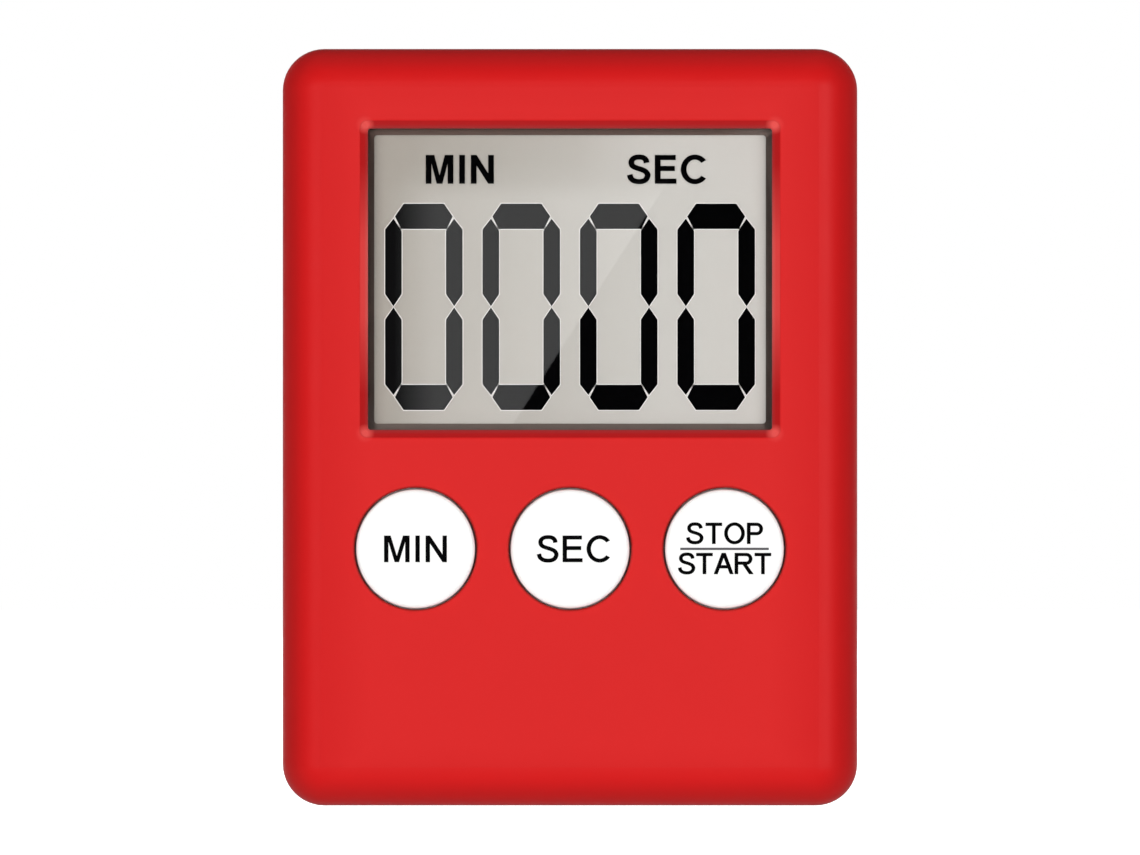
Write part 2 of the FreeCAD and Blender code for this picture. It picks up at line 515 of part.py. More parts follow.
# ---------------------------------------------------------------- keys
def key_cap(x):
    """White cap with a rounded rim, a flange with an anti-turn tab, and a stem that presses the dome."""
    flange_y = FRONT_INNER_Y + 0.1
    stem_y = DOME_TOP_Y - 0.05
    head = rod_y(x, KEY_Z, KEY_R, KEY_TOP_Y, flange_y + OVERLAP)
    head = head.makeFillet(KEY_EDGE_R, flat_edges(head, "Y", KEY_TOP_Y))
    flange = rod_y(x, KEY_Z, KEY_FLANGE_R, flange_y, flange_y + KEY_FLANGE_T)
    tab = box(x - KEY_TAB_W / 2, x + KEY_TAB_W / 2, flange_y, flange_y + KEY_FLANGE_T,
              KEY_Z - KEY_FLANGE_R - KEY_TAB_REACH, KEY_Z)
    stem = rod_y(x, KEY_Z, KEY_STEM_R, flange_y, stem_y)
    return united([head, flange, tab, stem])


def contact_pill(x):
    """Carbon pill under a dome."""
    return rod_y(x, KEY_Z, PILL_R, PILL_TOP_Y + 0.02, PILL_TOP_Y + PILL_T)


def mat_dome(x):
    """One hollow dome: a plug that the key presses, on a thin cone that folds."""
    plug_r, web_r, skin = 2.6, 4.6, 0.45
    sheet_y, plug_y = BOARD_Y - MAT_T, PILL_TOP_Y
    outside = [(0, DOME_TOP_Y), (plug_r, DOME_TOP_Y), (plug_r, plug_y - skin - 0.1), (web_r, sheet_y)]
    base = [(DOME_BASE_R, sheet_y), (DOME_BASE_R, BOARD_Y), (web_r, BOARD_Y)]
    inside = [(web_r, sheet_y + skin), (plug_r - 0.1, plug_y), (0, plug_y)]
    return turned(outside + base + inside, x, KEY_Z)


def keypad_mat():
    """Silicone mat with one hollow dome under each key."""
    middle_z = (MAT_LOW_Z + MAT_TOP_Z) / 2
    sheet = slab(MAT_W, MAT_TOP_Z - MAT_LOW_Z, 1.5, BOARD_Y - MAT_T, BOARD_Y, 0, middle_z)
    sheet = sheet.makeFillet(0.2, flat_edges(sheet, "Y", BOARD_Y - MAT_T))
    holes = [rod_y(x, KEY_Z, DOME_BASE_R - 0.2, BOARD_Y - MAT_T - 1, BOARD_Y + 1) for x in KEY_X.values()]
    return united([without(sheet, holes)] + [mat_dome(x) for x in KEY_X.values()])


# ---------------------------------------------------------------- circuit board
def circuit_board():
    """Bare board with its screw holes."""
    height = BOARD_TOP_Z - BOARD_LOW_Z
    board = slab(BOARD_W, height, 1.0, BOARD_Y, BOARD_REAR_Y, 0, BOARD_LOW_Z + height / 2)
    holes = [rod_y(x, z, BOARD_SCREW_R + 0.15, BOARD_Y - 1, BOARD_REAR_Y + 1) for x, z in BOARD_POSTS]
    return without(board, holes)


def half_pad(x, side):
    """Half of a contact pad: a rim above or below the middle, with fingers that reach past the other's."""
    finger_w, pitch, core, reach = 0.25, 0.75, 1.4, 1.1
    disc = rod_y(x, KEY_Z, PAD_R, BOARD_Y - PAD_T, BOARD_Y)
    low, high = sorted((KEY_Z + side * core, KEY_Z + side * (PAD_R + 1)))
    rim = disc.common(box(x - PAD_R, x + PAD_R, BOARD_Y - PAD_T, BOARD_Y, low, high))
    low, high = sorted((KEY_Z + side * (core + OVERLAP), KEY_Z - side * reach))
    fingers = [box(mid - finger_w / 2, mid + finger_w / 2, BOARD_Y - PAD_T, BOARD_Y, low, high)
               for mid in (x + pitch * (k + side / 4) for k in (-1, 0, 1))]
    return united([rim] + fingers)


def contact_pads():
    """Printed contact pads under the domes, each two interleaved halves."""
    return group([half_pad(x, side) for x in KEY_X.values() for side in SIDES])


def chip_blob():
    """Black epoxy dome over the bare chip."""
    radius, height, z = 4.6, 1.3, 52.0
    ball_r = (radius ** 2 + height ** 2) / (2 * height)
    ball = Part.makeSphere(ball_r, Vector(0, BOARD_REAR_Y + height - ball_r, z))
    return ball.common(box(-radius, radius, BOARD_REAR_Y, BOARD_REAR_Y + height, z - radius, z + radius))


def clock_crystal():
    """Tuning-fork crystal can lying on the board, with its two leads."""
    x, z, radius, length, lead_r = -11.0, 66.0, 1.0, 6.0, 0.15
    axis_y, foot_z = BOARD_REAR_Y + radius, z - 1.8
    can = Part.makeCylinder(radius, length, Vector(x, axis_y, z), Vector(0, 0, 1))
    can = can.makeFillet(0.3, flat_edges(can, "Z", z + length))
    route = [(axis_y, z + 0.2), (axis_y, foot_z), (BOARD_REAR_Y, foot_z)]
    leads = [tube_along([(lead_x, y, lead_z) for y, lead_z in route], lead_r)
             for lead_x in (x - 0.4, x + 0.4)]
    return united([can] + leads)


def chip_parts(places, height):
    """Surface-mount blocks on the rear of the board, each lying along X or, when upright, along Z."""
    length, width, top = 2.0, 1.25, BOARD_REAR_Y + height
    blocks = []
    for x, z, upright in places:
        half_x, half_z = (width / 2, length / 2) if upright else (length / 2, width / 2)
        blocks.append(box(x - half_x, x + half_x, BOARD_REAR_Y, top, z - half_z, z + half_z))
    return group(blocks)


def resistors():
    """Chip resistors."""
    lying = [(x, z, False) for x, z in ((-8.6, 44.0), (-8.6, 46.6))]
    standing = [(x, z, True) for x, z in ((8.8, 45.5), (12.0, 45.5), (-14.4, 52.0))]
    return chip_parts(lying + standing, 0.5)


def capacitors():
    """Chip capacitors."""
    lying = [(x, z, False) for x, z in ((9.4, 57.6), (-9.2, 58.0), (13.8, 62.0))]
    return chip_parts(lying + [(-15.6, 67.4, True)], 0.8)


def step_up_coil():
    """Drum coil that drives the buzzer at a higher voltage."""
    x, z, height, rim_r, waist_r, rim_t = 20.6, 50.0, 4.0, 2.5, 1.9, 0.6
    top = BOARD_REAR_Y + height
    spool = rod_y(x, z, waist_r, BOARD_REAR_Y, top)
    rims = [rod_y(x, z, rim_r, low, low + rim_t) for low in (BOARD_REAR_Y, top - rim_t)]
    return united([spool] + rims)


def driver_transistor():
    """Three-leg transistor beside the coil."""
    x, z, half_w, half_h, leg_w, leg_t, reach = 20.8, 42.6, 1.45, 0.65, 0.4, 0.2, 1.2
    body = box(x - half_w, x + half_w, BOARD_REAR_Y + leg_t / 2, BOARD_REAR_Y + 1.1, z - half_h, z + half_h)
    legs = []
    for leg_x, side in ((x - 0.95, -1), (x + 0.95, -1), (x, 1)):
        low, high = sorted((z, z + side * reach))
        legs.append(box(leg_x - leg_w / 2, leg_x + leg_w / 2, BOARD_REAR_Y, BOARD_REAR_Y + leg_t, low, high))
    return united([body] + legs)


# ---------------------------------------------------------------- fasteners
def pan_screw(x, z, seat_y, head_r, head_t, shank_r, length):
    """A cross-recessed pan-head screw, its head's underside at seat_y and its shank towards the front."""
    top = seat_y + head_t
    head = rod_y(x, z, head_r, seat_y, top)
    head = head.makeFillet(0.4 * head_t, flat_edges(head, "Y", top))
    screw = united([head, rod_y(x, z, shank_r, seat_y - length, seat_y)])
    arm, width, low = 0.6 * head_r, 0.12 * head_r, top - 0.55 * head_t
    cross = [box(x - a, x + a, low, top + 1, z - b, z + b) for a, b in ((arm, width), (width, arm))]
    return without(screw, cross)


def board_screws():
    """Six small screws that hold the board."""
    return group([pan_screw(x, z, BOARD_REAR_Y, 1.5, 0.9, BOARD_SCREW_R, 5.0) for x, z in BOARD_POSTS])


def case_screws():
    """Four self-tapping screws that close the case from the back."""
    return group([pan_screw(x, z, HEAD_SEAT_Y, CASE_HEAD_R, CASE_HEAD_T, CASE_SCREW_R, 8.0)
                  for x, z in CASE_SCREWS])


# ---------------------------------------------------------------- battery and contacts
def battery_cell():
    """An AAA cell: printed sleeve, steel can, core, positive cap and negative base."""
    sleeve_t, can_t, base_t = 0.12, 0.25, 0.3
    x0, x1 = CELL_MINUS_X, CELL_MINUS_X + CELL_CAN_LENGTH
    can_r, cap_r, nub_x = CELL_R - sleeve_t, CELL_NUB_R + 0.6, x1 + CELL_NUB_LENGTH
    core_r, core_x0, core_x1 = can_r - can_t, x0 + base_t, x1 - can_t
    sleeve = rod_x(CELL_Y, CELL_Z, CELL_R, core_x0, x1 - 0.2).cut(rod_x(CELL_Y, CELL_Z, can_r, x0, x1))
    can = rod_x(CELL_Y, CELL_Z, can_r, core_x0, x1)
    can = can.makeFillet(0.6, flat_edges(can, "X", x1))
    can = can.cut(rod_x(CELL_Y, CELL_Z, core_r, x0, core_x1)).cut(rod_x(CELL_Y, CELL_Z, cap_r, x0, x1 + 1))
    disc = rod_x(CELL_Y, CELL_Z, cap_r, core_x1, x1 - 0.05)
    cap = united([disc, rod_x(CELL_Y, CELL_Z, CELL_NUB_R, core_x1, nub_x)])
    return {
        "battery_sleeve": sleeve,
        "battery_can": can,
        "battery_core": rod_x(CELL_Y, CELL_Z, core_r, core_x0, core_x1),
        "battery_positive_cap": cap.makeFillet(0.3, flat_edges(cap, "X", nub_x)),
        "battery_negative_base": rod_x(CELL_Y, CELL_Z, can_r - 0.2, x0, core_x0),
    }


def contact_plate(side):
    """Sheet contact at one end of the bay, with the tab that passes out through the tub's end."""
    face, half, tab_half = BAY_HALF - CONTACT_T, 4.4, TAB_W / 2
    blank = side_box(side, face, BAY_HALF, CELL_Y - half, CELL_Y + half, CELL_Z - half, CELL_Z + half)
    plate = blank.common(rod_x(CELL_Y, CELL_Z, BAY_R - 0.15, -BAY_HALF, BAY_HALF))
    tab_end, tab_rear = BAY_HALF + TAB_REACH, TAB_Y + CONTACT_T
    tab = side_box(side, face, tab_end, TAB_Y, tab_rear, CELL_Z - tab_half, CELL_Z + tab_half)
    return united([plate, tab])


def negative_contact():
    """Left contact with its cone spring."""
    wire_r, base_r, tip_r, turns = 0.25, 3.7, 2.1, 4.0
    start_x, end_x = -BAY_HALF + CONTACT_T + wire_r - 0.05, CELL_MINUS_X - wire_r - 0.02
    rise = end_x - start_x
    taper = math.degrees(math.atan((base_r - tip_r) / rise))
    helix = Part.makeHelix(rise / turns, rise, base_r, -taper)
    section = Part.Wire(Part.makeCircle(wire_r, Vector(base_r, 0, 0), Vector(0, 1, 0)))
    spring = Part.Wire(helix).makePipeShell([section], True, True)
    turned_to_x = FreeCAD.Rotation(Vector(0, 1, 0), 90)
    spring.Placement = FreeCAD.Placement(Vector(start_x, CELL_Y, CELL_Z), turned_to_x)
    return united([contact_plate(-1), spring])


def positive_contact():
    """Right contact with a pressed dimple that meets the cell's nub."""
    nub_x = CELL_MINUS_X + CELL_CAN_LENGTH + CELL_NUB_LENGTH
    root = Vector(BAY_HALF - CONTACT_T + OVERLAP, CELL_Y, CELL_Z)
    dimple = Part.makeCone(1.4, 1.0, root.x - nub_x, root, Vector(-1, 0, 0))
    return united([contact_plate(1), dimple])


def battery_lead(side):
    """Lead from a contact's solder tab, up past the board's corner, to a pad on the rear of the board."""
    path = [(26.9, TAB_Y + CONTACT_T, 10.8), (26.9, -1.2, 10.8), (27.4, 0.4, 15.4), (26.4, 2.1, 19.4),
            (25.1, 2.7, 21.8), (23.2, 2.9, 24.6), (20.9, 2.9, 25.8), (20.9, BOARD_REAR_Y, 25.8)]
    return tube_along([(side * x, y, z) for x, y, z in path], 0.4)


def buzzer_leads():
    """Two thin leads from the piezo disc to the board."""
    path = [(2.2, BUZZER_CERAMIC_Y, 71.6), (2.2, 3.8, 71.6), (3.4, 3.3, 69.4), (6.0, 2.8, 67.6),
            (6.0, 2.6, 66.4), (6.0, BOARD_REAR_Y, 66.4)]
    return group([tube_along([(side * x, y, z) for x, y, z in path], 0.3) for side in SIDES])


def buzzer():
    """Piezo sounder: brass plate and the ceramic disc on its front."""
    return {"buzzer_plate": rod_y(0, BUZZER_Z, BUZZER_R, BUZZER_FRONT_Y, BUZZER_FRONT_Y + BUZZER_T),
            "buzzer_ceramic": rod_y(0, BUZZER_Z, BUZZER_CERAMIC_R, BUZZER_CERAMIC_Y, BUZZER_FRONT_Y)}


# ---------------------------------------------------------------- export
def make_nodes():
    """Every node of the timer by name."""
    nodes = {
        "front_case": front_case(),
        "rear_case": rear_case(),
        "battery_door": battery_door(),
        "stand": stand(),
        "display_lens": display_lens(),
        "display_mask": display_mask(),
        "display_holder": display_holder(),
        "zebra_connector": zebra_connector(),
        "keypad_mat": keypad_mat(),
        "circuit_board": circuit_board(),
        "contact_pads": contact_pads(),
        "chip_blob": chip_blob(),
        "clock_crystal": clock_crystal(),
        "resistors": resistors(),
        "capacitors": capacitors(),
        "step_up_coil": step_up_coil(),
        "driver_transistor": driver_transistor(),
        "board_screws": board_screws(),
        "case_screws": case_screws(),
        "negative_contact": negative_contact(),
        "positive_contact": positive_contact(),
        "negative_lead": battery_lead(-1),
        "positive_lead": battery_lead(1),
        "buzzer_leads": buzzer_leads(),
    }
    nodes.update(magnets())
    nodes.update(display_cell())
    nodes.update(battery_cell())
    nodes.update(buzzer())
    for name, x in KEY_X.items():
        nodes[f"{name}_key"] = key_cap(x)
        nodes[f"{name}_pill"] = contact_pill(x)
    return nodes


def write_parts():
    """Writes one STEP file per node into parts/."""
    os.makedirs("parts", exist_ok=True)
    for name, shape in make_nodes().items():
        solids = shape.Solids
        if not solids or not all(s.isValid() and s.Volume > 0 for s in solids):
            raise RuntimeError(f"{name} is not made of valid solids")
        whole = solids[0] if len(solids) == 1 else Part.makeCompound(solids)
        whole.exportStep(f"parts/{name}.step")
        print(f"{name}: {len(solids)} solid(s), {sum(s.Volume for s in solids):.1f} mm3")


write_parts()
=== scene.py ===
import math

import bmesh
import bpy
from mathutils import Matrix, Vector


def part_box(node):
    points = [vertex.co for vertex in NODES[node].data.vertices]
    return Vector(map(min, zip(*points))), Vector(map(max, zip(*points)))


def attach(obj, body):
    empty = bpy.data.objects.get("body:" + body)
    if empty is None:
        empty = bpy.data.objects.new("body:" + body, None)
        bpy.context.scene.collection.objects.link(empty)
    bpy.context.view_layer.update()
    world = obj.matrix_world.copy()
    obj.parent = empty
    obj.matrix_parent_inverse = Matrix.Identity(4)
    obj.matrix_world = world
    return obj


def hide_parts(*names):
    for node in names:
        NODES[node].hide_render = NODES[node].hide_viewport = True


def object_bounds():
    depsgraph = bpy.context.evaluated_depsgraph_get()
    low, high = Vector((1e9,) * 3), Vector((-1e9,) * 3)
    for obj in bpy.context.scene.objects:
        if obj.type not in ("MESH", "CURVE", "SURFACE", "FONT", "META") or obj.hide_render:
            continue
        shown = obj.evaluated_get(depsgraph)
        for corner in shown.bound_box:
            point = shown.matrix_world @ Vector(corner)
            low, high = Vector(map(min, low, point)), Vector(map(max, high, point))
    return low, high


# Looks of the digital kitchen timer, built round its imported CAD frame.
# Metres, in the CAD's frame: +X right, -Y towards the viewer, +Z up, the timer's foot at z = 0.

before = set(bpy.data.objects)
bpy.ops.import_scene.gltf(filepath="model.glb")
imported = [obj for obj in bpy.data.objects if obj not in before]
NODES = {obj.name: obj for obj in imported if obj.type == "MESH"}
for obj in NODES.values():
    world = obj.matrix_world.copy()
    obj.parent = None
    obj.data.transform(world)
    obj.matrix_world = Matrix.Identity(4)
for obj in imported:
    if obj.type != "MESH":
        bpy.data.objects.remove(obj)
cad_low, cad_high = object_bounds()

MM = 0.001
BODIES_OF_KEYS = ("minute_key", "second_key", "start_stop_key")
FACE_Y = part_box("front_case")[0].y
WINDOW_LOW, WINDOW_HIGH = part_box("display_lens")
WINDOW_Z = (WINDOW_LOW.z + WINDOW_HIGH.z) / 2
LENS_FRONT_Y = WINDOW_LOW.y
DISPLAY_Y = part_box("front_polariser")[0].y
TIMER_MIDDLE = (cad_low + cad_high) / 2


# ---------------------------------------------------------------- materials
NOISE_RANGE = 0.3, 0.7  # where nearly all of a noise texture's values lie


class Paint:
    """A procedural material: one Principled shader, and helpers that add the nodes feeding it."""

    def __init__(self, name, **values):
        self.material = bpy.data.materials.new(name)
        self.material.use_nodes = True
        self.tree = self.material.node_tree
        self.shader = self.tree.nodes["Principled BSDF"]
        self.output = self.tree.nodes["Material Output"]
        self.place = self.add("ShaderNodeTexCoord").outputs["Object"]
        for key, value in values.items():
            self.set(key.replace("_", " ").title().replace("Ior", "IOR"), value)

    def set(self, socket, value):
        """One uniform value, straight on the shader's own socket."""
        if isinstance(value, tuple) and len(value) == 3:
            value = (*value, 1.0)
        self.shader.inputs[socket].default_value = value

    def add(self, kind, inputs=None, **settings):
        """A node, with its settings and with its inputs set or linked."""
        node = self.tree.nodes.new(kind)
        for key, value in settings.items():
            setattr(node, key, value)
        for key, value in (inputs or {}).items():
            if isinstance(value, bpy.types.NodeSocket):
                self.tree.links.new(value, node.inputs[key])
            else:
                node.inputs[key].default_value = value
        return node

    def link(self, output, socket):
        self.tree.links.new(output, self.shader.inputs[socket])

    def math(self, operation, a, b=0.0, c=0.0, clamp=False):
        node = self.add("ShaderNodeMath", {0: a, 1: b, 2: c}, operation=operation, use_clamp=clamp)
        return node.outputs[0]

    def noise(self, size, detail=2.0, roughness=0.5, stretch=(1, 1, 1)):
        """Noise, 0 to 1, whose features are about size metres across, longer along the stretched axes."""
        scale = [1 / (size * s) for s in stretch]
        mapped = self.add("ShaderNodeMapping", {"Vector": self.place, "Scale": scale})
        node = self.add("ShaderNodeTexNoise", {"Vector": mapped.outputs[0], "Scale": 1.0,
                                               "Detail": detail, "Roughness": roughness})
        return node.outputs["Fac"]

    def axis(self, name):
        """One object coordinate, in metres."""
        return self.add("ShaderNodeSeparateXYZ", {0: self.place}).outputs[name]

    def away(self, a, b, from_a, from_b):
        """How far two coordinates are from a place."""
        offset = self.add("ShaderNodeCombineXYZ", {0: self.math("SUBTRACT", a, from_a),
                                                   1: self.math("SUBTRACT", b, from_b)}).outputs[0]
        return self.add("ShaderNodeVectorMath", {0: offset}, operation="LENGTH").outputs["Value"]

    def ramp(self, factor, low, high, from_value, to_value):
        """factor's range low to high, mapped onto from_value to to_value and held beyond it."""
        return self.add("ShaderNodeMapRange", {"Value": factor, "From Min": low, "From Max": high,
                                               "To Min": from_value, "To Max": to_value}).outputs[0]

    def vary(self, noise, low, high):
        """Noise mapped onto low to high."""
        return self.ramp(noise, *NOISE_RANGE, low, high)

    def product(self, a, b):
        return self.math("MULTIPLY", a, b)

    def blend(self, factor, a, b):
        """Two colours mixed by a factor."""
        node = self.add("ShaderNodeMix", data_type="RGBA", blend_type="MIX")
        for index, value in ((0, factor), (6, a), (7, b)):
            if isinstance(value, bpy.types.NodeSocket):
                self.tree.links.new(value, node.inputs[index])
            elif isinstance(value, tuple):
                node.inputs[index].default_value = (*value, 1.0)
            else:
                node.inputs[index].default_value = value
        return node.outputs[2]

    def band(self, coordinate, low, high, soft):
        """1 between two places along a coordinate, 0 outside, over a soft edge."""
        rise = self.ramp(coordinate, low - soft, low + soft, 0.0, 1.0)
        fall = self.ramp(coordinate, high - soft, high + soft, 1.0, 0.0)
        return self.product(rise, fall)

    def mottle(self, colour, spread, size, stretch=(1, 1, 1)):
        """A colour varied up and down by a share of itself."""
        low, high = [tuple(c * (1 + side * spread) for c in colour) for side in (-1, 1)]
        return self.blend(self.noise(size, 3.0, stretch=stretch), low, high)

    def bump(self, height, distance):
        """A bump whose full height is a distance in metres."""
        inputs = {"Height": height, "Distance": distance, "Strength": 1.0}
        return self.add("ShaderNodeBump", inputs).outputs[0]

    def surface(self, shader):
        """Another shader in place of the Principled one."""
        self.tree.nodes.remove(self.shader)
        self.tree.links.new(shader.outputs[0], self.output.inputs["Surface"])


def moulded(name, colour, roughness, grain, grain_depth, spread, specular):
    """Moulded plastic: fine grain, slight tone and gloss variation."""
    tone_size, gloss_size, gloss_spread = 9 * MM, 3 * MM, 0.03
    paint = Paint(name, specular_ior_level=specular)
    paint.link(paint.mottle(colour, spread, tone_size), "Base Color")
    fine = paint.noise(grain)
    gloss = paint.vary(paint.noise(gloss_size, 3.0), roughness - gloss_spread, roughness + gloss_spread)
    paint.link(gloss, "Roughness")
    paint.link(paint.bump(fine, grain_depth), "Normal")
    return paint


def metal(name, colour, roughness, brushed, scratch):
    """Plated or bare metal with fine lines, tarnish and gloss variation."""
    tarnish, tarnish_size, line_size, smoother, rougher = 0.06, 2.5 * MM, 0.25 * MM, 0.06, 0.08
    paint = Paint(name, metallic=1.0)
    paint.link(paint.mottle(colour, tarnish, tarnish_size), "Base Color")
    lines = paint.noise(line_size, 3.0, 0.6, brushed)
    paint.link(paint.vary(lines, roughness - smoother, roughness + rougher), "Roughness")
    paint.link(paint.bump(lines, scratch), "Normal")
    return paint


def see_through(name, tint, ior):
    """A clear solid: light passes straight through, tinted, and its outer side reflects a little."""
    paint = Paint(name)
    clear = paint.add("ShaderNodeBsdfTransparent", {"Color": (*tint, 1.0)})
    sheen = paint.add("ShaderNodeBsdfGlossy", {"Color": (1.0, 1.0, 1.0, 1.0), "Roughness": 0.0})
    share = paint.add("ShaderNodeFresnel", {"IOR": ior})
    outside = paint.math("SUBTRACT", 1.0, paint.add("ShaderNodeNewGeometry").outputs["Backfacing"])
    front = paint.product(share.outputs[0], outside)
    paint.surface(paint.add("ShaderNodeMixShader", {0: front, 1: clear.outputs[0], 2: sheen.outputs[0]}))
    return paint


# Tones of the red plastic: its own, and darker ones for painted shade at the outline, edge and key hole rims.
RED = (0.618, 0.0132, 0.0130)
BORDER_SHADE_RED = (0.578, 0.0078, 0.0084)
EDGE_SHADE_RED = (0.50, 0.0086, 0.0090)
RIM_SHADE_RED = (0.30, 0.0150, 0.0120)
# Painted light on the slope round the window: shade along its top and bottom, highlights at the middle of its
# sides and at its corners.
SLOPE_SHADE_OUTER, SLOPE_SHADE_INNER = (0.44, 0.0105, 0.0115), (0.31, 0.034, 0.035)
SIDE_HIGHLIGHT_OUTER, SIDE_HIGHLIGHT_INNER = (0.70, 0.054, 0.052), (0.54, 0.125, 0.112)
CORNER_HIGHLIGHT = (0.76, 0.088, 0.080)
# The painted shade at the rim of a key hole, as distances from the key's middle between which it ends.
RIM_SHADE_FADE = 6.95 * MM, 7.14 * MM
# How much less rough the slope round the window is.
POLISH = 0.16
# Half the width and height at which the inner tone of the slope's painted shade and highlight starts to give
# way to the outer one. They lie 0.2 and 0.1 mm inside the opening at the slope's foot.
INNER_TONE_HALF = 22.6 * MM, 16.9 * MM


def key_middle(name):
    """Where the middle of a key's round flange is, as x and z, and the flange's radius."""
    low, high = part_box(name)
    flange_r = (high.x - low.x) / 2
    return (low.x + high.x) / 2, high.z - flange_r, flange_r


def case_plastic(name, roughness, grain, depth, specular):
    """The red plastic, and its colour and gloss for the front to build on."""
    tone_size, gloss_size, smoother, rougher = 12 * MM, 4 * MM, 0.02, 0.03
    paint = Paint(name, specular_ior_level=specular)
    colour = paint.mottle(RED, 0.02, tone_size)
    gloss = paint.vary(paint.noise(gloss_size, 3.0), roughness - smoother, roughness + rougher)
    paint.link(paint.bump(paint.noise(grain), depth), "Normal")
    paint.link(colour, "Base Color")
    paint.link(gloss, "Roughness")
    return paint, colour, gloss


def border_shade_share(paint, across, z):
    """Where painted shade darkens the front towards its outline: 1 along the outline, 0 in the middle. The
    top and foot count as a little further away.
    """
    end_extra, full, none = 3 * MM, 4.5 * MM, 10 * MM
    to_side = paint.math("SUBTRACT", cad_high.x, across)
    to_top = paint.math("SUBTRACT", cad_high.z + end_extra, z)
    to_foot = paint.math("ADD", z, end_extra)
    to_end = paint.math("MINIMUM", to_top, to_foot)
    return paint.ramp(paint.math("MINIMUM", to_side, to_end), full, none, 1.0, 0.0)


def rounding_shade_share(paint, y):
    """Painted shade on the rounded edge: 1 just behind the face, 0 on the face and faint further back."""
    rise = paint.ramp(y, FACE_Y + 0.1 * MM, FACE_Y + 1.1 * MM, 0.0, 1.0)
    fall = paint.ramp(y, FACE_Y + 1.8 * MM, FACE_Y + 4.5 * MM, 1.0, 0.3)
    return paint.product(rise, fall)


def slope_share(paint, y, across, upright):
    """1 on the slope between the face and the window, 0 elsewhere."""
    sunk = paint.ramp(y, FACE_Y + 0.03 * MM, FACE_Y + 0.12 * MM, 0.0, 1.0)
    above = paint.ramp(y, LENS_FRONT_Y, LENS_FRONT_Y + 0.1 * MM, 1.0, 0.0)
    in_width = paint.ramp(across, 24.4 * MM, 24.6 * MM, 1.0, 0.0)
    in_height = paint.ramp(upright, 18.6 * MM, 18.8 * MM, 1.0, 0.0)
    return paint.product(paint.product(sunk, above), paint.product(in_width, in_height))


def slope_shade_and_highlight(paint, across, upright):
    """Colour of the slope: painted shade from its outer part to its inner part, and a painted highlight at
    the middle of its sides.
    """
    half_width, half_height = INNER_TONE_HALF
    outwards = paint.math("MAXIMUM", paint.math("SUBTRACT", across, half_width),
                          paint.math("SUBTRACT", upright, half_height))
    inner = paint.ramp(outwards, 0.0, 0.6 * MM, 1.0, 0.0)
    beside = paint.ramp(across, 22.4 * MM, 22.7 * MM, 0.0, 1.0)
    halfway_up = paint.ramp(upright, 4 * MM, 13 * MM, 1.0, 0.0)
    # Painted shade along the top and bottom of the slope, and a painted highlight at the middle of its sides.
    level_shade = paint.blend(inner, SLOPE_SHADE_OUTER, SLOPE_SHADE_INNER)
    side_highlight = paint.blend(inner, SIDE_HIGHLIGHT_OUTER, SIDE_HIGHLIGHT_INNER)
    return paint.blend(paint.product(beside, halfway_up), level_shade, side_highlight)


def corner_highlight_share(paint, slope, across, upright):
    """Where the painted highlight at the four corners of the slope lies: 1 there, and partly so on the face
    beside them.
    """
    corner_x, corner_z, full, none, least = 23.1 * MM, 17.4 * MM, 0.3 * MM, 1.1 * MM, 0.4
    close = paint.ramp(paint.away(across, upright, corner_x, corner_z), full, none, 1.0, 0.0)
    return paint.product(paint.math("MAXIMUM", slope, least), close)


def front_plastic():
    """The red plastic of the front: painted shade at its edges and round the keys, painted shade and
    highlights on the smoother slope round the window.
    """
    paint, colour, gloss = case_plastic("case_front", 0.36, 0.22 * MM, 0.0012 * MM, 0.16)
    x, y, z = paint.axis("X"), paint.axis("Y"), paint.axis("Z")
    across = paint.math("ABSOLUTE", x)
    upright = paint.math("ABSOLUTE", paint.math("SUBTRACT", z, WINDOW_Z))
    # Painted shade: darker towards the outline of the front.
    colour = paint.blend(border_shade_share(paint, across, z), colour, BORDER_SHADE_RED)
    # Painted shade on the rounded edge round the face.
    colour = paint.blend(rounding_shade_share(paint, y), colour, EDGE_SHADE_RED)
    for key in BODIES_OF_KEYS:
        key_x, key_z, _ = key_middle(key)
        # Painted shade at the rim of each key hole.
        rim_shade = paint.ramp(paint.away(x, z, key_x, key_z), *RIM_SHADE_FADE, 1.0, 0.0)
        colour = paint.blend(rim_shade, colour, RIM_SHADE_RED)
    slope = slope_share(paint, y, across, upright)
    # Painted shade and highlight on the slope round the window.
    colour = paint.blend(slope, colour, slope_shade_and_highlight(paint, across, upright))
    # Painted highlights at the four corners of the slope.
    colour = paint.blend(corner_highlight_share(paint, slope, across, upright), colour, CORNER_HIGHLIGHT)
    paint.link(colour, "Base Color")
    paint.link(paint.math("MULTIPLY_ADD", slope, -POLISH, gloss), "Roughness")
    return paint


def window_mask():
    """The dark printed border behind the window, its paint a little paler along its right and its bottom."""
    dark, pale = (0.120, 0.084, 0.071), (0.150, 0.120, 0.106)
    tone_size, grain, grain_depth = 9 * MM, 0.1 * MM, 0.002 * MM
    paint = Paint("mask_dark", roughness=0.7, specular_ior_level=0.05)
    low_down = paint.math("SUBTRACT", WINDOW_Z, paint.axis("Z"))
    to_right = paint.ramp(paint.axis("X"), 17 * MM, 21.5 * MM, 0.0, 1.0)
    to_bottom = paint.ramp(low_down, 13 * MM, 16 * MM, 0.0, 1.0)
    paler = paint.math("MAXIMUM", to_right, to_bottom)
    paint.link(paint.blend(paler, paint.mottle(dark, 0.05, tone_size), pale), "Base Color")
    paint.link(paint.bump(paint.noise(grain), grain_depth), "Normal")
    return paint


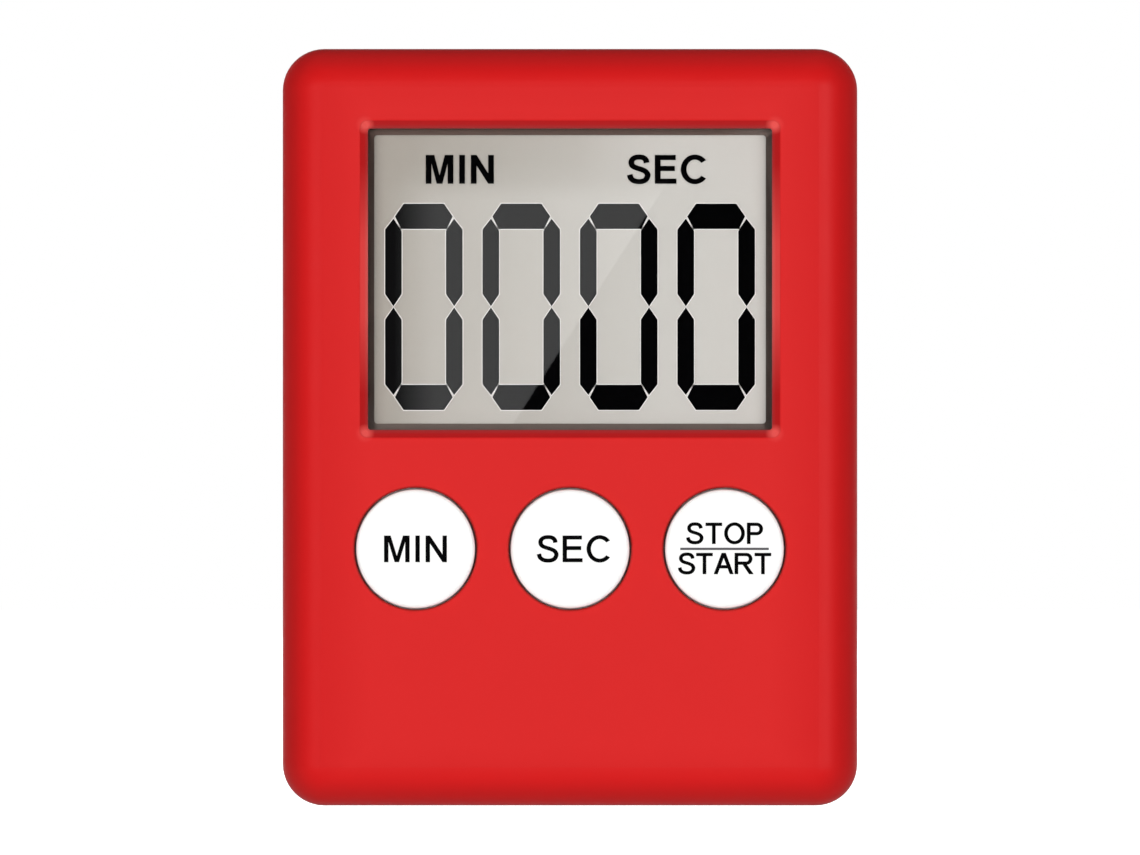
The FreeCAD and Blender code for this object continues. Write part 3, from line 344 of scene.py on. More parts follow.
def board_mask():
    """Green solder mask over copper tracks."""
    track_gap, track_length, track_pitch, track_height = 0.16 * MM, 4.4 * MM, 1.3 * MM, 0.035 * MM
    paint = Paint("board_green", roughness=0.28, coat_weight=0.3, coat_roughness=0.15)
    turned = paint.add("ShaderNodeCombineXYZ", {0: paint.axis("X"), 1: paint.axis("Z")}).outputs[0]
    sizes = {"Vector": turned, "Scale": 1.0, "Mortar Size": track_gap, "Mortar Smooth": 0.2,
             "Brick Width": track_length, "Row Height": track_pitch}
    tracks = paint.add("ShaderNodeTexBrick", sizes, offset=0.37, squash=0.7, squash_frequency=3)
    line = tracks.outputs["Fac"]
    green = paint.blend(line, (0.006, 0.085, 0.030), (0.020, 0.190, 0.062))
    blotches = paint.mottle((0.01, 0.12, 0.04), 0.2, 1.5 * MM)
    paint.link(paint.blend(0.25, green, blotches), "Base Color")
    paint.link(paint.bump(line, track_height), "Normal")
    return paint


def striped_rubber():
    """Elastomer connector: thin black conducting layers between clear ones, about 0.11 mm apart."""
    wave_scale, layer_depth = 2777.8662, 0.01 * MM
    paint = Paint("zebra_rubber", roughness=0.55)
    wave = paint.add("ShaderNodeTexWave", {"Vector": paint.place, "Scale": wave_scale, "Distortion": 0.0},
                     bands_direction="X").outputs["Fac"]
    stripe = paint.ramp(wave, 0.4, 0.6, 0.0, 1.0)
    paint.link(paint.blend(stripe, (0.02, 0.02, 0.022), (0.42, 0.40, 0.38)), "Base Color")
    paint.link(paint.bump(stripe, layer_depth), "Normal")
    return paint


def cell_wrapper():
    """Battery sleeve: dark foil print, a copper band towards the positive end and a thin pale ring."""
    dark_foil, copper = (0.012, 0.013, 0.016), (0.62, 0.26, 0.09)
    pale_ring, smudge = (0.75, 0.72, 0.66), (0.2, 0.18, 0.16)
    paint = Paint("cell_sleeve", metallic=0.55, roughness=0.3, coat_weight=0.6, coat_roughness=0.08)
    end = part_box("battery_sleeve")[1].x
    x = paint.axis("X")
    band = paint.ramp(x, end - 12.1 * MM, end - 12 * MM, 0.0, 1.0)
    ring = paint.band(x, end - 12.9 * MM, end - 12.3 * MM, 0.04 * MM)
    colour = paint.blend(band, dark_foil, copper)
    colour = paint.blend(ring, colour, pale_ring)
    paint.link(paint.blend(0.12, colour, paint.mottle(smudge, 0.5, 2 * MM)), "Base Color")
    paint.link(paint.bump(paint.noise(1.2 * MM, 3.0, stretch=(6, 1, 1)), 0.02 * MM), "Normal")
    return paint


def display_face():
    """The silvery face of the display, with painted shade: darker towards its left and at its top left."""
    darkest, palest, fleck = (0.39, 0.363, 0.320), (0.60, 0.585, 0.550), (0.8, 0.78, 0.75)
    top_left_shade_low, top_left_shade_high = WINDOW_Z + 9.5 * MM, WINDOW_Z + 13.5 * MM
    paint = Paint("polariser_grey", roughness=0.6, specular_ior_level=0.05)
    x = paint.axis("X")
    # Painted shade: paler from left to right, and darker again at the top left.
    shade = paint.ramp(x, -21.5 * MM, -16 * MM, 0.0, 0.29)
    shade = paint.math("ADD", shade, paint.ramp(x, -16 * MM, 10 * MM, 0.0, 0.64))
    shade = paint.math("ADD", shade, paint.ramp(x, 10 * MM, 22 * MM, 0.0, 0.07))
    top_left_shade = paint.product(paint.ramp(paint.axis("Z"), top_left_shade_low, top_left_shade_high, 0.0, 0.20),
                          paint.ramp(x, 1 * MM, 7 * MM, 1.0, 0.0))
    shade = paint.math("SUBTRACT", shade, top_left_shade, clamp=True)
    colour = paint.blend(shade, darkest, palest)
    sparkle = paint.noise(0.12 * MM, 1.0)
    paint.link(paint.blend(paint.vary(sparkle, 0.0, 0.05), colour, fleck), "Base Color")
    paint.link(paint.bump(sparkle, 0.004 * MM), "Normal")
    return paint


# Moulded and printed pieces: colour, roughness, grain size and depth in mm, tone spread, specular level.
MOULDED = {
    "key_white": ((0.90, 0.90, 0.89), 0.32, 0.25, 0.001, 0.01, 0.5),
    "seal_epoxy": ((0.20, 0.17, 0.13), 0.4, 0.3, 0.004, 0.03, 0.5),
    "holder_white": ((0.78, 0.77, 0.74), 0.45, 0.3, 0.004, 0.03, 0.5),
    "mat_rubber": ((0.42, 0.43, 0.44), 0.62, 0.4, 0.010, 0.04, 0.5),
    "carbon_black": ((0.012, 0.012, 0.013), 0.7, 0.08, 0.006, 0.2, 0.5),
    "epoxy_black": ((0.010, 0.010, 0.011), 0.24, 1.1, 0.03, 0.2, 0.5),
    "resistor_black": ((0.020, 0.020, 0.022), 0.35, 0.2, 0.006, 0.2, 0.5),
    "capacitor_tan": ((0.36, 0.24, 0.13), 0.42, 0.2, 0.006, 0.08, 0.5),
    "coil_ferrite": ((0.045, 0.043, 0.045), 0.5, 0.2, 0.012, 0.15, 0.5),
    "lead_black": ((0.015, 0.015, 0.016), 0.38, 0.5, 0.006, 0.1, 0.5),
    "lead_red": ((0.45, 0.012, 0.010), 0.38, 0.5, 0.006, 0.05, 0.5),
    "buzzer_white": ((0.72, 0.70, 0.64), 0.55, 0.15, 0.006, 0.05, 0.5),
    "cell_core": ((0.05, 0.05, 0.055), 0.8, 0.2, 0.02, 0.2, 0.5),
    "segment_black": ((0.0010, 0.0010, 0.0012), 0.8, 0.1, 0.001, 0.1, 0.01),
    "segment_halo": ((0.90, 0.885, 0.86), 0.8, 0.1, 0.001, 0.01, 0.05),
    "ink_black": ((0.0012, 0.0012, 0.0014), 0.7, 0.06, 0.001, 0.1, 0.03),
    "ink_grey": ((0.10, 0.10, 0.105), 0.6, 0.06, 0.001, 0.1, 0.1),
}
# Metals: colour, roughness, how far the fine lines stretch along each axis, and their depth in millimetres.
METALS = {
    "crystal_can": ((0.70, 0.69, 0.66), 0.28, (1, 1, 5), 0.004),
    "screw_steel": ((0.62, 0.61, 0.58), 0.30, (1, 1, 1), 0.004),
    "contact_nickel": ((0.71, 0.68, 0.62), 0.26, (1, 1, 1), 0.004),
    "buzzer_brass": ((0.78, 0.55, 0.24), 0.30, (6, 1, 1), 0.004),
    "magnet_nickel": ((0.66, 0.65, 0.62), 0.22, (4, 1, 1), 0.004),
    "cell_steel": ((0.64, 0.63, 0.60), 0.25, (1, 4, 4), 0.004),
    "reflector_silver": ((0.80, 0.80, 0.78), 0.42, (8, 1, 1), 0.002),
}


def make_materials():
    """A material for each of the record's slots, one for the front case, and those of pieces made here."""
    made = {
        "case_front": front_plastic(),
        "case_red": case_plastic("case_red", 0.44, 0.30 * MM, 0.006 * MM, 0.22)[0],
        "mask_dark": window_mask(),
        "lens_clear": see_through("lens_clear", (0.99, 0.99, 0.99), 1.49),
        "display_glass": see_through("display_glass", (0.93, 0.97, 0.95), 1.5),
        "zebra_rubber": striped_rubber(),
        "board_green": board_mask(),
        "cell_sleeve": cell_wrapper(),
        "polariser_grey": display_face(),
    }
    for name, (colour, roughness, grain, depth, spread, specular) in MOULDED.items():
        made[name] = moulded(name, colour, roughness, grain * MM, depth * MM, spread, specular)
    for name, (colour, roughness, brushed, scratch) in METALS.items():
        made[name] = metal(name, colour, roughness, brushed, scratch * MM)
    return {name: paint.material for name, paint in made.items()}


MATERIALS = make_materials()


def dress_nodes():
    """Gives every carried-over CAD node the material of its slot, and the front case its own."""
    for name, node in NODES.items():
        slots = node.data.materials
        for i, old in enumerate(slots):
            slots[i] = MATERIALS["case_front" if name == "front_case" else old.name.split(".")[0]]


dress_nodes()


# ---------------------------------------------------------------- mesh helpers
def new_piece(name, mesh, body, material):
    """An object in the scene that rides on a body and takes its finish from a slot."""
    piece = bpy.data.objects.new(name, mesh)
    bpy.context.scene.collection.objects.link(piece)
    mesh.materials.clear()
    mesh.materials.append(MATERIALS[material])
    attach(piece, body)
    return piece


def flat_plates(name, loops, y_front, y_back):
    """A mesh of flat plates across Y, from loops of (x, z) points in metres. Inner loops are holes."""
    same_place = 1e-7
    curve = bpy.data.curves.new(name, "CURVE")
    curve.dimensions, curve.fill_mode = "2D", "BOTH"
    curve.extrude = (y_back - y_front) / 2 / MM
    for loop in loops:
        spline = curve.splines.new("POLY")
        spline.points.add(len(loop) - 1)
        for point, (x, z) in zip(spline.points, loop):
            point.co = (x / MM, z / MM, 0.0, 1.0)
        spline.use_cyclic_u = True
    holder = bpy.data.objects.new(name, curve)
    bpy.context.scene.collection.objects.link(holder)
    bpy.context.view_layer.update()
    mesh = bpy.data.meshes.new_from_object(holder.evaluated_get(bpy.context.evaluated_depsgraph_get()))
    bpy.data.objects.remove(holder)
    bpy.data.curves.remove(curve)
    upright = Matrix.Translation((0, (y_front + y_back) / 2, 0)) @ Matrix.Rotation(math.radians(90), 4, "X")
    mesh.transform(upright @ Matrix.Scale(MM, 4))
    tidy = bmesh.new()
    tidy.from_mesh(mesh)
    bmesh.ops.remove_doubles(tidy, verts=tidy.verts, dist=same_place)
    bmesh.ops.recalc_face_normals(tidy, faces=tidy.faces)
    tidy.to_mesh(mesh)
    tidy.free()
    mesh.name = name
    return mesh


def arc(cx, cz, rx, rz, start, end, steps=28):
    """Points on an ellipse between two angles in degrees."""
    angles = [math.radians(start + (end - start) * i / steps) for i in range(steps + 1)]
    return [(cx + rx * math.cos(a), cz + rz * math.sin(a)) for a in angles]


# ---------------------------------------------------------------- lettering: plain sans capitals
# Each glyph fills a cell one unit high and w wide, with upright strokes s and level strokes t.
def glyph_i(w, s, t):
    return [[(0, 0), (s, 0), (s, 1), (0, 1)]]


def glyph_t(w, s, t):
    left, right = (w - s) / 2, (w + s) / 2
    return [[(left, 0), (right, 0), (right, 1 - t), (w, 1 - t), (w, 1), (0, 1), (0, 1 - t), (left, 1 - t)]]


def glyph_e(w, s, t):
    middle, arm = 0.53, 0.93 * w
    low, high = middle - t / 2, middle + t / 2
    return [[(0, 0), (w, 0), (w, t), (s, t), (s, low), (arm, low), (arm, high), (s, high),
             (s, 1 - t), (0.97 * w, 1 - t), (0.97 * w, 1), (0, 1)]]


def glyph_n(w, s, t):
    run = w - 2 * s
    drop = (-s * s + s * math.sqrt(s * s + (run * run - s * s) * (run * run + 1))) / (run * run - s * s)
    return [[(0, 0), (s, 0), (s, 1 - drop), (w - s, 0), (w, 0),
             (w, 1), (w - s, 1), (w - s, drop), (s, 1), (0, 1)]]


def glyph_m(w, s, t):
    top, foot, notch = 1.5 * s, 0.5 * s, 1.45 * s
    slope = (1 - notch) / (w / 2 - top)
    inner = slope * (w / 2 - foot - s)
    return [[(0, 0), (s, 0), (s, inner), (w / 2 - foot, 0), (w / 2 + foot, 0), (w - s, inner), (w - s, 0),
             (w, 0), (w, 1), (w - top, 1), (w / 2, notch), (top, 1), (0, 1)]]


def glyph_a(w, s, t):
    apex, foot, low = 1.12 * s, 1.08 * s, 0.27
    lean = (w - apex) / 2
    peak, high = (w / 2 - foot) / lean, low + t
    outer = [(0, 0), (foot, 0), (foot + lean * low, low), (w - foot - lean * low, low), (w - foot, 0), (w, 0),
             ((w + apex) / 2, 1), ((w - apex) / 2, 1)]
    return [outer, [(foot + lean * high, high), (w / 2, peak), (w - foot - lean * high, high)]]


def bowl(w, s, t, low):
    """The closed bowl of P and R: its outer arc, bottom to top, and the hole."""
    rz = (1 - low) / 2
    rx = min(rz, w - s)
    outer = arc(w - rx, 1 - rz, rx, rz, -90, 90)
    hole = [(s, low + t)] + arc(w - rx, 1 - rz, rx - s, rz - t, -90, 90) + [(s, 1 - t)]
    return outer, hole


def glyph_p(w, s, t):
    low = 0.41
    outer, hole = bowl(w, s, t, low)
    return [[(0, 0), (s, 0), (s, low)] + outer + [(0, 1)], hole]


def glyph_r(w, s, t):
    low, knee = 0.44, 0.42 * w
    outer, hole = bowl(0.93 * w, s, t, low)
    return [[(0, 0), (s, 0), (s, low), (knee, low), (w - 1.28 * s, 0), (w, 0), (knee + 1.22 * s, low)]
            + outer + [(0, 1)], hole]


# How far round letters reach beyond the top and bottom of their cell.
OVERSHOOT = 0.015


def glyph_o(w, s, t):
    rx, rz, last_angle, steps = w / 2, 0.5 + OVERSHOOT, 354, 59
    outer = arc(rx, 0.5, rx, rz, 0, last_angle, steps)
    return [outer, arc(rx, 0.5, rx - s, rz - t, 0, last_angle, steps)]


def glyph_c(w, s, t):
    gap, inner_gap, steps = 38, 41, 56
    rx, rz = w / (1 + math.cos(math.radians(gap))), 0.5 + OVERSHOOT
    outer = arc(rx, 0.5, rx, rz, gap, 360 - gap, steps)
    return [outer + arc(rx, 0.5, rx - s, rz - t, 360 - inner_gap, inner_gap, steps)]


# The middle line of an S in a unit square, from its upper end to its lower end.
S_LINE = [(0.945, 0.765), (0.90, 0.885), (0.76, 0.975), (0.52, 1.0), (0.27, 0.97), (0.115, 0.865),
          (0.10, 0.725), (0.20, 0.62), (0.42, 0.55), (0.66, 0.495), (0.89, 0.41), (1.0, 0.27), (0.93, 0.115),
          (0.76, 0.025), (0.52, 0.0), (0.26, 0.03), (0.07, 0.13), (0.0, 0.285)]


def glyph_s(w, s, t):
    over, steps = OVERSHOOT, 5
    line = [Vector((s / 2 + x * (w - s), t / 2 - over + z * (1 - t + 2 * over))) for x, z in S_LINE]
    ends = [line[0] * 2 - line[1]] + line + [line[-1] * 2 - line[-2]]
    smooth = []
    for a, b, c, d in zip(ends, ends[1:], ends[2:], ends[3:]):
        for k in range(steps):
            u = k / steps
            smooth.append(0.5 * (2 * b + (c - a) * u + (2 * a - 5 * b + 4 * c - d) * u * u
                                 + (3 * b - a - 3 * c + d) * u ** 3))
    smooth.append(line[-1])
    sides = ([], [])
    for i, point in enumerate(smooth):
        ahead, behind = smooth[min(i + 1, len(smooth) - 1)], smooth[max(i - 1, 0)]
        along = (ahead - behind).normalized()
        out = Vector((-along.y * s / 2, along.x * t / 2))
        sides[0].append(tuple(point + out))
        sides[1].append(tuple(point - out))
    return [sides[0] + sides[1][::-1]]


# Each letter's outline and the width of its cell; the I is as wide as a stroke.
GLYPHS = {"M": (glyph_m, 0.96), "I": (glyph_i, None), "N": (glyph_n, 0.80), "S": (glyph_s, 0.82),
          "E": (glyph_e, 0.75), "C": (glyph_c, 0.88), "T": (glyph_t, 0.78), "O": (glyph_o, 0.97),
          "P": (glyph_p, 0.76), "A": (glyph_a, 0.94), "R": (glyph_r, 0.90)}


def word_loops(word, height, stroke, centre_x, base_z, width):
    """Outlines in metres of a word centred on centre_x, its letters spaced out to a width.

    The stroke is a share of the letters' height, and level strokes are a little thinner than upright ones.
    """
    level_stroke = 0.9 * stroke
    cells = [stroke if GLYPHS[c][1] is None else GLYPHS[c][1] for c in word]
    gap = (width / height - sum(cells)) / (len(word) - 1)
    loops, x = [], centre_x - width / 2
    for letter, cell in zip(word, cells):
        for loop in GLYPHS[letter][0](cell, stroke, level_stroke):
            loops.append([(x + px * height, base_z + pz * height) for px, pz in loop])
        x += (cell + gap) * height
    return loops


# ---------------------------------------------------------------- display
DIGIT_PITCH, DIGIT_MIDDLE_Z = 11.01 * MM, WINDOW_Z - 3.1 * MM
DIGITS = ("ten_minutes", "minutes", "ten_seconds", "seconds")
# Front and back of the dark print, and of the pale edges under it.
PRINT_LAYER = DISPLAY_Y - 0.09 * MM, DISPLAY_Y - 0.02 * MM
EDGE_LAYER = DISPLAY_Y - 0.045 * MM, DISPLAY_Y + 0.01 * MM
# How far the pale edges reach beyond their segments, in millimetres.
EDGE_WIDTH = 0.09
WORD_HEIGHT, WORD_STROKE, WORD_BASE_Z = 3.25 * MM, 0.198, WINDOW_Z + 10.81 * MM
# The printed words: where their middle is, and their width.
DISPLAY_WORDS = {"MIN": (-12.45 * MM, 7.7 * MM), "SEC": (10.9 * MM, 8.95 * MM)}
# Corners in millimetres, from the middle of a figure 0, of its top bar and its upper left bar.
TOP_BAR = [(-2.28, 11.66), (2.28, 11.66), (3.27, 10.22), (2.55, 8.80), (-2.55, 8.80), (-3.27, 10.22)]
SIDE_BAR = [(-3.42, 9.97), (-2.50, 8.56), (-2.50, 1.44), (-3.43, 0.07), (-4.38, 1.44), (-4.38, 8.76)]


def grown(loop, extra):
    """A convex outline moved outwards by a distance."""
    middle = sum((Vector(p) for p in loop), Vector((0, 0))) / len(loop)
    moved = []
    for i, point in enumerate(loop):
        point, before, after = Vector(point), Vector(loop[i - 1]), Vector(loop[(i + 1) % len(loop)])
        normals = []
        for a, b in ((before, point), (point, after)):
            side = Vector((b - a).yx * Vector((1, -1))).normalized()
            normals.append(side if side.dot(a - middle) > 0 else -side)
        bisector = (normals[0] + normals[1]).normalized()
        moved.append(tuple(point + bisector * (extra / bisector.dot(normals[0]))))
    return moved


def figure_loops(x, extra=0.0):
    """The six lit segments of a 0 whose middle is at x."""
    side = [TOP_BAR, SIDE_BAR, [(-a, b) for a, b in SIDE_BAR]]
    loops = side + [[(a, -b) for a, b in loop] for loop in side]
    return [[(x + a * MM, DIGIT_MIDDLE_Z + b * MM) for a, b in grown(loop, extra)] for loop in loops]


def build_display():
    """Dark segments with thin pale edges, and the two printed words, on the display's face."""
    for i, name in enumerate(DIGITS):
        x = (i - 1.5) * DIGIT_PITCH
        lit = flat_plates(f"segments_{name}", figure_loops(x), *PRINT_LAYER)
        new_piece(f"segments_{name}", lit, "case", "segment_black")
        edge = flat_plates(f"segment_edges_{name}", figure_loops(x, EDGE_WIDTH), *EDGE_LAYER)
        new_piece(f"segment_edges_{name}", edge, "case", "segment_halo")
    for word, (x, width) in DISPLAY_WORDS.items():
        loops = word_loops(word, WORD_HEIGHT, WORD_STROKE, x, WORD_BASE_Z, width)
        mesh = flat_plates(f"display_{word}", loops, *PRINT_LAYER)
        new_piece(f"display_{word}", mesh, "case", "segment_black")


build_display()


# ---------------------------------------------------------------- keys
KEY_EDGE_R, CROWN, CROWN_GAP = 0.5 * MM, 0.085 * MM, 0.018 * MM
KEY_TOP_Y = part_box("second_key")[0].y
# The flange's radius is larger than the cap's by its overhang, and its front lies at FLANGE_Y.
FLANGE_OVERHANG, FLANGE_Y, FLANGE_THICKNESS = 0.6 * MM, FACE_Y + 1.9 * MM, 0.8 * MM
STEM_R, FOOT_BEVEL = 2.4 * MM, 0.15 * MM
# The anti-turn tab: half its width, how far its front and back lie inside the flange's, and how near to the
# key's middle it comes.
TAB_HALF, TAB_INSET, TAB_REACH = 1.0 * MM, 0.02 * MM, 3 * MM
# The legends of each key: word, height, stroke, shift from the key's middle, base above it, and width.
LARGE, SMALL = 3.0 * MM, 2.4 * MM
LEGENDS = {
    "minute_key": [("MIN", LARGE, 0.165, 0.0, -LARGE / 2, 7.08 * MM)],
    "second_key": [("SEC", LARGE, 0.165, 0.38 * MM, -LARGE / 2, 8.25 * MM)],
    "start_stop_key": [("STOP", SMALL, 0.172, 0.0, 0.55 * MM, 8.68 * MM),
                       ("START", SMALL, 0.172, 0.0, -2.85 * MM, 10.52 * MM)],
}
# Half the width and height of the line between STOP and START.
RULE_HALF = 4.98 * MM, 0.13 * MM


def crown_y(radius, face_radius):
    """Depth of the gently domed key top at a distance from its middle."""
    return KEY_TOP_Y + CROWN_GAP + CROWN * (radius / face_radius) ** 2


def lathe(name, profile, centre_x, centre_z, steps=128):
    """A closed solid of revolution about a line along Y, from (radius, y) points.

    The first and last points lie on the axis.
    """
    made = bmesh.new()
    rings = []
    for radius, y in profile:
        if radius == 0:
            rings.append([made.verts.new((centre_x, y, centre_z))])
            continue
        turns = [2 * math.pi * i / steps for i in range(steps)]
        rings.append([made.verts.new((centre_x + radius * math.cos(a), y, centre_z + radius * math.sin(a)))
                      for a in turns])
    for a, b in zip(rings, rings[1:]):
        for i in range(steps):
            j = (i + 1) % steps
            corners = [a[i % len(a)], a[j % len(a)], b[j % len(b)], b[i % len(b)]]
            made.faces.new(list(dict.fromkeys(corners)))
    bmesh.ops.recalc_face_normals(made, faces=made.faces)
    mesh = bpy.data.meshes.new(name)
    made.to_mesh(mesh)
    made.free()
    return mesh


def block_mesh(name, low, high):
    """A plain box mesh, used only to be joined to another solid."""
    made = bmesh.new()
    size, middle = high - low, (high + low) / 2
    bmesh.ops.create_cube(made, size=1.0, matrix=Matrix.Translation(middle) @ Matrix.Diagonal((*size, 1.0)))
    mesh = bpy.data.meshes.new(name)
    made.to_mesh(mesh)
    made.free()
    return mesh


def joined(mesh, other):
    """The union of two closed meshes."""
    holders = [bpy.data.objects.new(m.name, m) for m in (mesh, other)]
    for holder in holders:
        bpy.context.scene.collection.objects.link(holder)
    cut = holders[0].modifiers.new("union", "BOOLEAN")
    cut.operation, cut.solver, cut.object = "UNION", "EXACT", holders[1]
    bpy.context.view_layer.update()
    result = bpy.data.meshes.new_from_object(holders[0].evaluated_get(bpy.context.evaluated_depsgraph_get()))
    for holder in holders:
        bpy.data.objects.remove(holder)
    return result


def shade(mesh, degrees):
    """Smooth shading that breaks at edges sharper than an angle."""
    mesh.polygons.foreach_set("use_smooth", [True] * len(mesh.polygons))
    mesh.set_sharp_from_angle(angle=math.radians(degrees))


def key_profile(face_r, cap_r, flange_r, back_y):
    """Half the outline of a key as (radius, y) points: domed top, rounded edge, flange and stem."""
    top_steps, edge_steps = 12, 9
    flange_back = FLANGE_Y + FLANGE_THICKNESS
    edge_y = crown_y(face_r, face_r) + KEY_EDGE_R
    turns = [math.radians(90 * k / edge_steps) for k in range(1, edge_steps + 1)]
    radii = [face_r * k / top_steps for k in range(1, top_steps + 1)]
    profile = [(0, crown_y(0, face_r))]
    profile += [(radius, crown_y(radius, face_r)) for radius in radii]
    profile += [(face_r + KEY_EDGE_R * math.sin(a), edge_y - KEY_EDGE_R * math.cos(a)) for a in turns]
    profile += [(cap_r, FLANGE_Y - FOOT_BEVEL), (cap_r + FOOT_BEVEL, FLANGE_Y), (flange_r, FLANGE_Y)]
    return profile + [(flange_r, flange_back), (STEM_R, flange_back), (STEM_R, back_y), (0, back_y)]


def build_key(name):
    """A domed cap with its flange, anti-turn tab and stem, in place of the flat-topped CAD key."""
    low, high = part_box(name)
    x, z, flange_r = key_middle(name)
    cap_r = flange_r - FLANGE_OVERHANG
    face_r = cap_r - KEY_EDGE_R
    solid = lathe(name + "_cap", key_profile(face_r, cap_r, flange_r, high.y), x, z)
    tab_low = Vector((x - TAB_HALF, FLANGE_Y + TAB_INSET, low.z))
    tab_high = Vector((x + TAB_HALF, FLANGE_Y + FLANGE_THICKNESS - TAB_INSET, z - TAB_REACH))
    mesh = joined(solid, block_mesh("tab", tab_low, tab_high))
    mesh.name = name + "_cap"
    shade(mesh, 35)
    cap = new_piece(name + "_cap", mesh, name, "key_white")
    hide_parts(name)
    return x, z, face_r


def build_legend(name, body, x, z, face_r, loops, material):
    """Printed marks that follow the key's domed top."""
    thickness, sunk, longest, passes = 0.014 * MM, 0.02 * MM, 0.9 * MM, 5
    mesh = flat_plates(name, loops, -thickness, sunk)
    finer = bmesh.new()
    finer.from_mesh(mesh)
    for _ in range(passes):
        long = [edge for edge in finer.edges if edge.calc_length() > longest]
        bmesh.ops.subdivide_edges(finer, edges=long, cuts=1)
    finer.to_mesh(mesh)
    finer.free()
    for vertex in mesh.vertices:
        vertex.co.y += crown_y(math.hypot(vertex.co.x - x, vertex.co.z - z), face_r)
    new_piece(name, mesh, body, material)


def build_keys():
    """The three keys with their legends, and the line between the two words of the last key."""
    for body, words in LEGENDS.items():
        x, z, face_r = build_key(body)
        for word, height, stroke, shift, base, width in words:
            loops = word_loops(word, height, stroke, x + shift, z + base, width)
            build_legend(f"legend_{word}", body, x, z, face_r, loops, "ink_black")
    half_w, half_t = RULE_HALF
    rule = [(x + a * half_w, z + b * half_t) for a, b in ((-1, -1), (1, -1), (1, 1), (-1, 1))]
    build_legend("legend_rule", body, x, z, face_r, [rule], "ink_grey")


build_keys()


# ---------------------------------------------------------------- stage, light and camera
# The floor lies below the case, so that the battery door stays in sight when it is slid down.
FLOOR_Z, FLOOR_SIZE = -26 * MM, 5.0
VIEW_WIDTH, VIEW_MIDDLE_Z = 128.45 * MM, 42.77 * MM
# The card stands behind the camera, where the window's mirror image of the view falls.
CARD_Y, CARD_SIZE, CARD_LEVEL = -1.75, 0.42, 1.32
# What the window shows of the card, in millimetres: two points on the panel's slanting edge, where the panel
# fades in along X, and along Z where it starts and where it fades out.
PANEL_EDGE = ((13.3, 74.1), (-5.9, 44.0))
PANEL_FADE = (-19.8, -15.2)
PANEL_ENDS = (43.2, 68.2, 70.6)
# Square soft lights in pairs, left and right: name, azimuth, elevation, distance, size, watts, seen in gloss.
PAIRED_LIGHTS = (("front", 26, -1, 1.9, 1.1, 19.5, False), ("sheen", 17, 2, 1.95, 1.0, 4.8, True),
                 ("back", 150, 12, 1.9, 1.0, 17.0, False))
# The same for the single ones.
SINGLE_LIGHTS = (("back", 180, 6, 1.9, 1.0, 2.2, True), ("top", 0, 88, 1.6, 1.4, 3.0, False))


def floor_paint():
    """Pale matt floor: white paper to the camera, and no brighter than a real one to the part."""
    near, far, near_glow, far_glow = 0.2, 0.9, 0.82, 1.0
    paint = Paint("floor", base_color=(0.66, 0.66, 0.66), roughness=0.8, emission_color=(1.0, 1.0, 1.0))
    away = paint.add("ShaderNodeVectorMath", {0: paint.place}, operation="LENGTH").outputs["Value"]
    seen = paint.add("ShaderNodeLightPath").outputs["Is Camera Ray"]
    paint.link(paint.product(seen, paint.ramp(away, near, far, near_glow, far_glow)), "Emission Strength")
    return paint


def card_paint(across, fade, ends):
    """A dark studio card with a pale slanting panel, seen only as the reflection in the window.

    across points from the panel's slanting edge to the dark side. The panel fades in over the range fade of
    X. In Y it starts at the first of the ends and fades out between the other two.
    """
    edge_softness, faintest = 0.0003, 0.07
    paint = Paint("card")
    away = paint.add("ShaderNodeVectorMath", {0: paint.place, 1: across}, operation="DOT_PRODUCT")
    x, y = paint.axis("X"), paint.axis("Y")
    edge = paint.ramp(away.outputs["Value"], -edge_softness, edge_softness, 1.0, 0.0)
    level = paint.ramp(x, *fade, faintest, 1.0)
    low = paint.math("GREATER_THAN", y, ends[0])
    high = paint.ramp(y, *ends[1:], 1.0, 0.0)
    panel = paint.product(paint.product(edge, level), paint.product(low, high))
    paint.surface(paint.add("ShaderNodeEmission", {"Strength": paint.product(panel, CARD_LEVEL)}))
    return paint


def stage_plane(name, size, matrix, paint):
    """A square, flat stage piece."""
    made = bmesh.new()
    bmesh.ops.create_grid(made, x_segments=1, y_segments=1, size=0.5,
                          matrix=Matrix.Diagonal((size, size, 1, 1)))
    mesh = bpy.data.meshes.new(name)
    made.to_mesh(mesh)
    made.free()
    mesh.materials.append(paint.material)
    piece = bpy.data.objects.new(name, mesh)
    piece.matrix_world = matrix
    bpy.context.scene.collection.objects.link(piece)
    return piece


def soft_light(name, azimuth, elevation, distance, size, watts, glossy):
    """A square soft light aimed at the middle of the timer."""
    data = bpy.data.lights.new(name, "AREA")
    data.shape, data.size, data.size_y, data.energy = "RECTANGLE", size, size, watts
    light = bpy.data.objects.new(name, data)
    a, e = math.radians(azimuth), math.radians(elevation)
    towards = Vector((math.sin(a) * math.cos(e), -math.cos(a) * math.cos(e), math.sin(e)))
    light.location = TIMER_MIDDLE + towards * distance
    light.rotation_mode = "QUATERNION"
    light.rotation_quaternion = towards.to_track_quat("Z", "Y")
    light.visible_camera, light.visible_glossy = False, glossy
    bpy.context.scene.collection.objects.link(light)


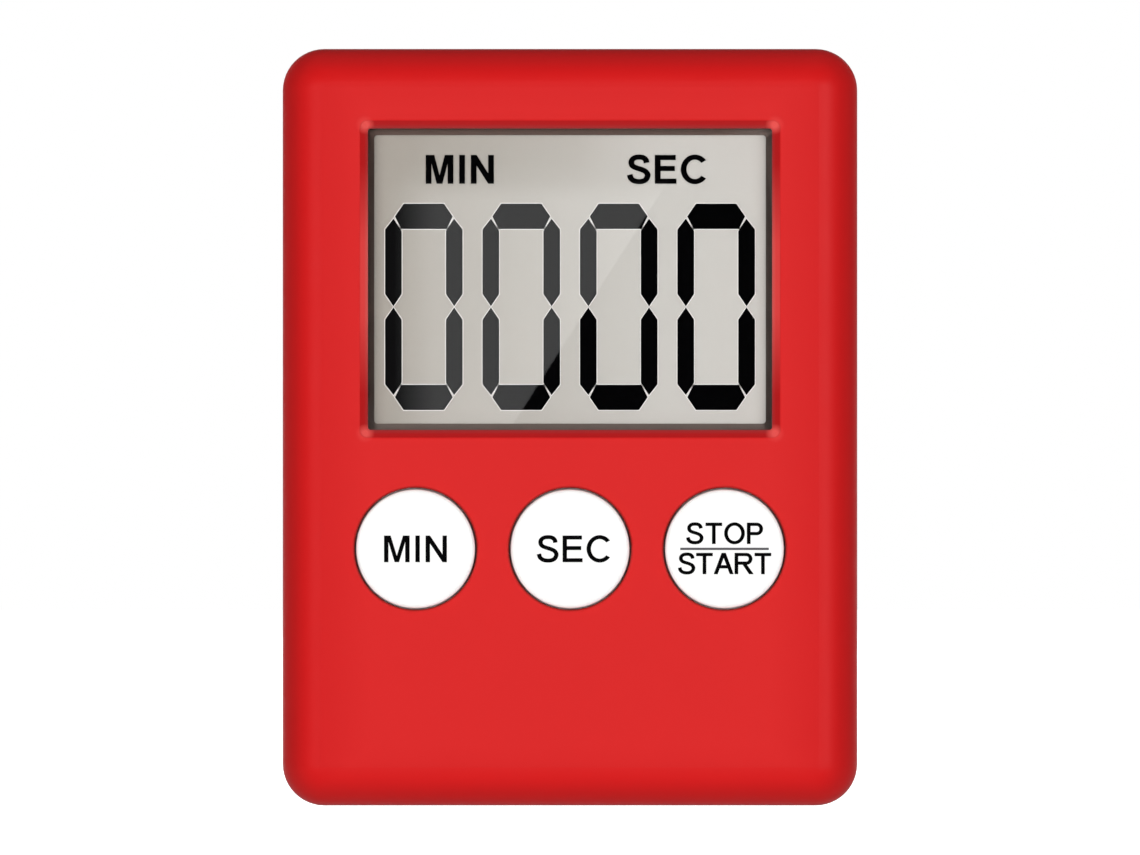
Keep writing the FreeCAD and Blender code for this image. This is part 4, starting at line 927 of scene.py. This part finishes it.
def build_world():
    """White to the camera, dim and even to everything else."""
    dim, white = 0.11, 1.0
    world = bpy.data.worlds.new("studio")
    world.use_nodes = True
    tree = world.node_tree
    base = tree.nodes["Background"]
    base.inputs["Color"].default_value = (1, 1, 1, 1)
    path = tree.nodes.new("ShaderNodeLightPath")
    level = tree.nodes.new("ShaderNodeMapRange")
    level.inputs["To Min"].default_value, level.inputs["To Max"].default_value = dim, white
    tree.links.new(path.outputs["Is Camera Ray"], level.inputs["Value"])
    tree.links.new(level.outputs[0], base.inputs["Strength"])
    bpy.context.scene.world = world


def build_camera():
    """A long lens square to the face, at about the middle of the case's height."""
    data = bpy.data.cameras.new("camera")
    data.lens, data.sensor_width, data.clip_start, data.clip_end = 300.0, 36.0, 0.05, 20.0
    camera = bpy.data.objects.new("camera", data)
    camera.location = (0.0, FACE_Y - VIEW_WIDTH * data.lens / data.sensor_width, VIEW_MIDDLE_Z)
    camera.rotation_euler = (math.radians(90), 0, 0)
    bpy.context.scene.collection.objects.link(camera)
    bpy.context.scene.camera = camera
    return camera


def build_card(camera):
    """The card, its panel placed by where the window shows it."""
    reach = (LENS_FRONT_Y - CARD_Y) / (LENS_FRONT_Y - camera.location.y)

    def on_card(millimetres, eye):
        """Where on the card the window shows a place, along X or Z."""
        return eye + (millimetres * MM - eye) * (1 + reach)

    eye_z = camera.location.z
    spots = [Vector((on_card(x, 0.0), CARD_Y, on_card(z, eye_z))) for x, z in PANEL_EDGE]
    middle, along = (spots[0] + spots[1]) / 2, (spots[0] - spots[1]).normalized()
    fade = [on_card(x, 0.0) - middle.x for x in PANEL_FADE]
    ends = [on_card(z, eye_z) - middle.z for z in PANEL_ENDS]
    upright = Matrix.Translation(middle) @ Matrix.Rotation(math.radians(90), 4, "X")
    card = stage_plane("card", CARD_SIZE, upright, card_paint((along.z, -along.x, 0), fade, ends))
    card.visible_camera = card.visible_shadow = card.visible_diffuse = False


def build_stage():
    build_world()
    camera = build_camera()
    floor = stage_plane("floor", FLOOR_SIZE, Matrix.Translation((0, 0, FLOOR_Z)), floor_paint())
    floor.visible_shadow = False
    build_card(camera)
    for side in (-1, 1):
        for name, azimuth, *rest in PAIRED_LIGHTS:
            soft_light(f"{name}_{side}", azimuth * side, *rest)
    for light in SINGLE_LIGHTS:
        soft_light(*light)


build_stage()
bpy.context.scene.view_settings.view_transform = "Standard"
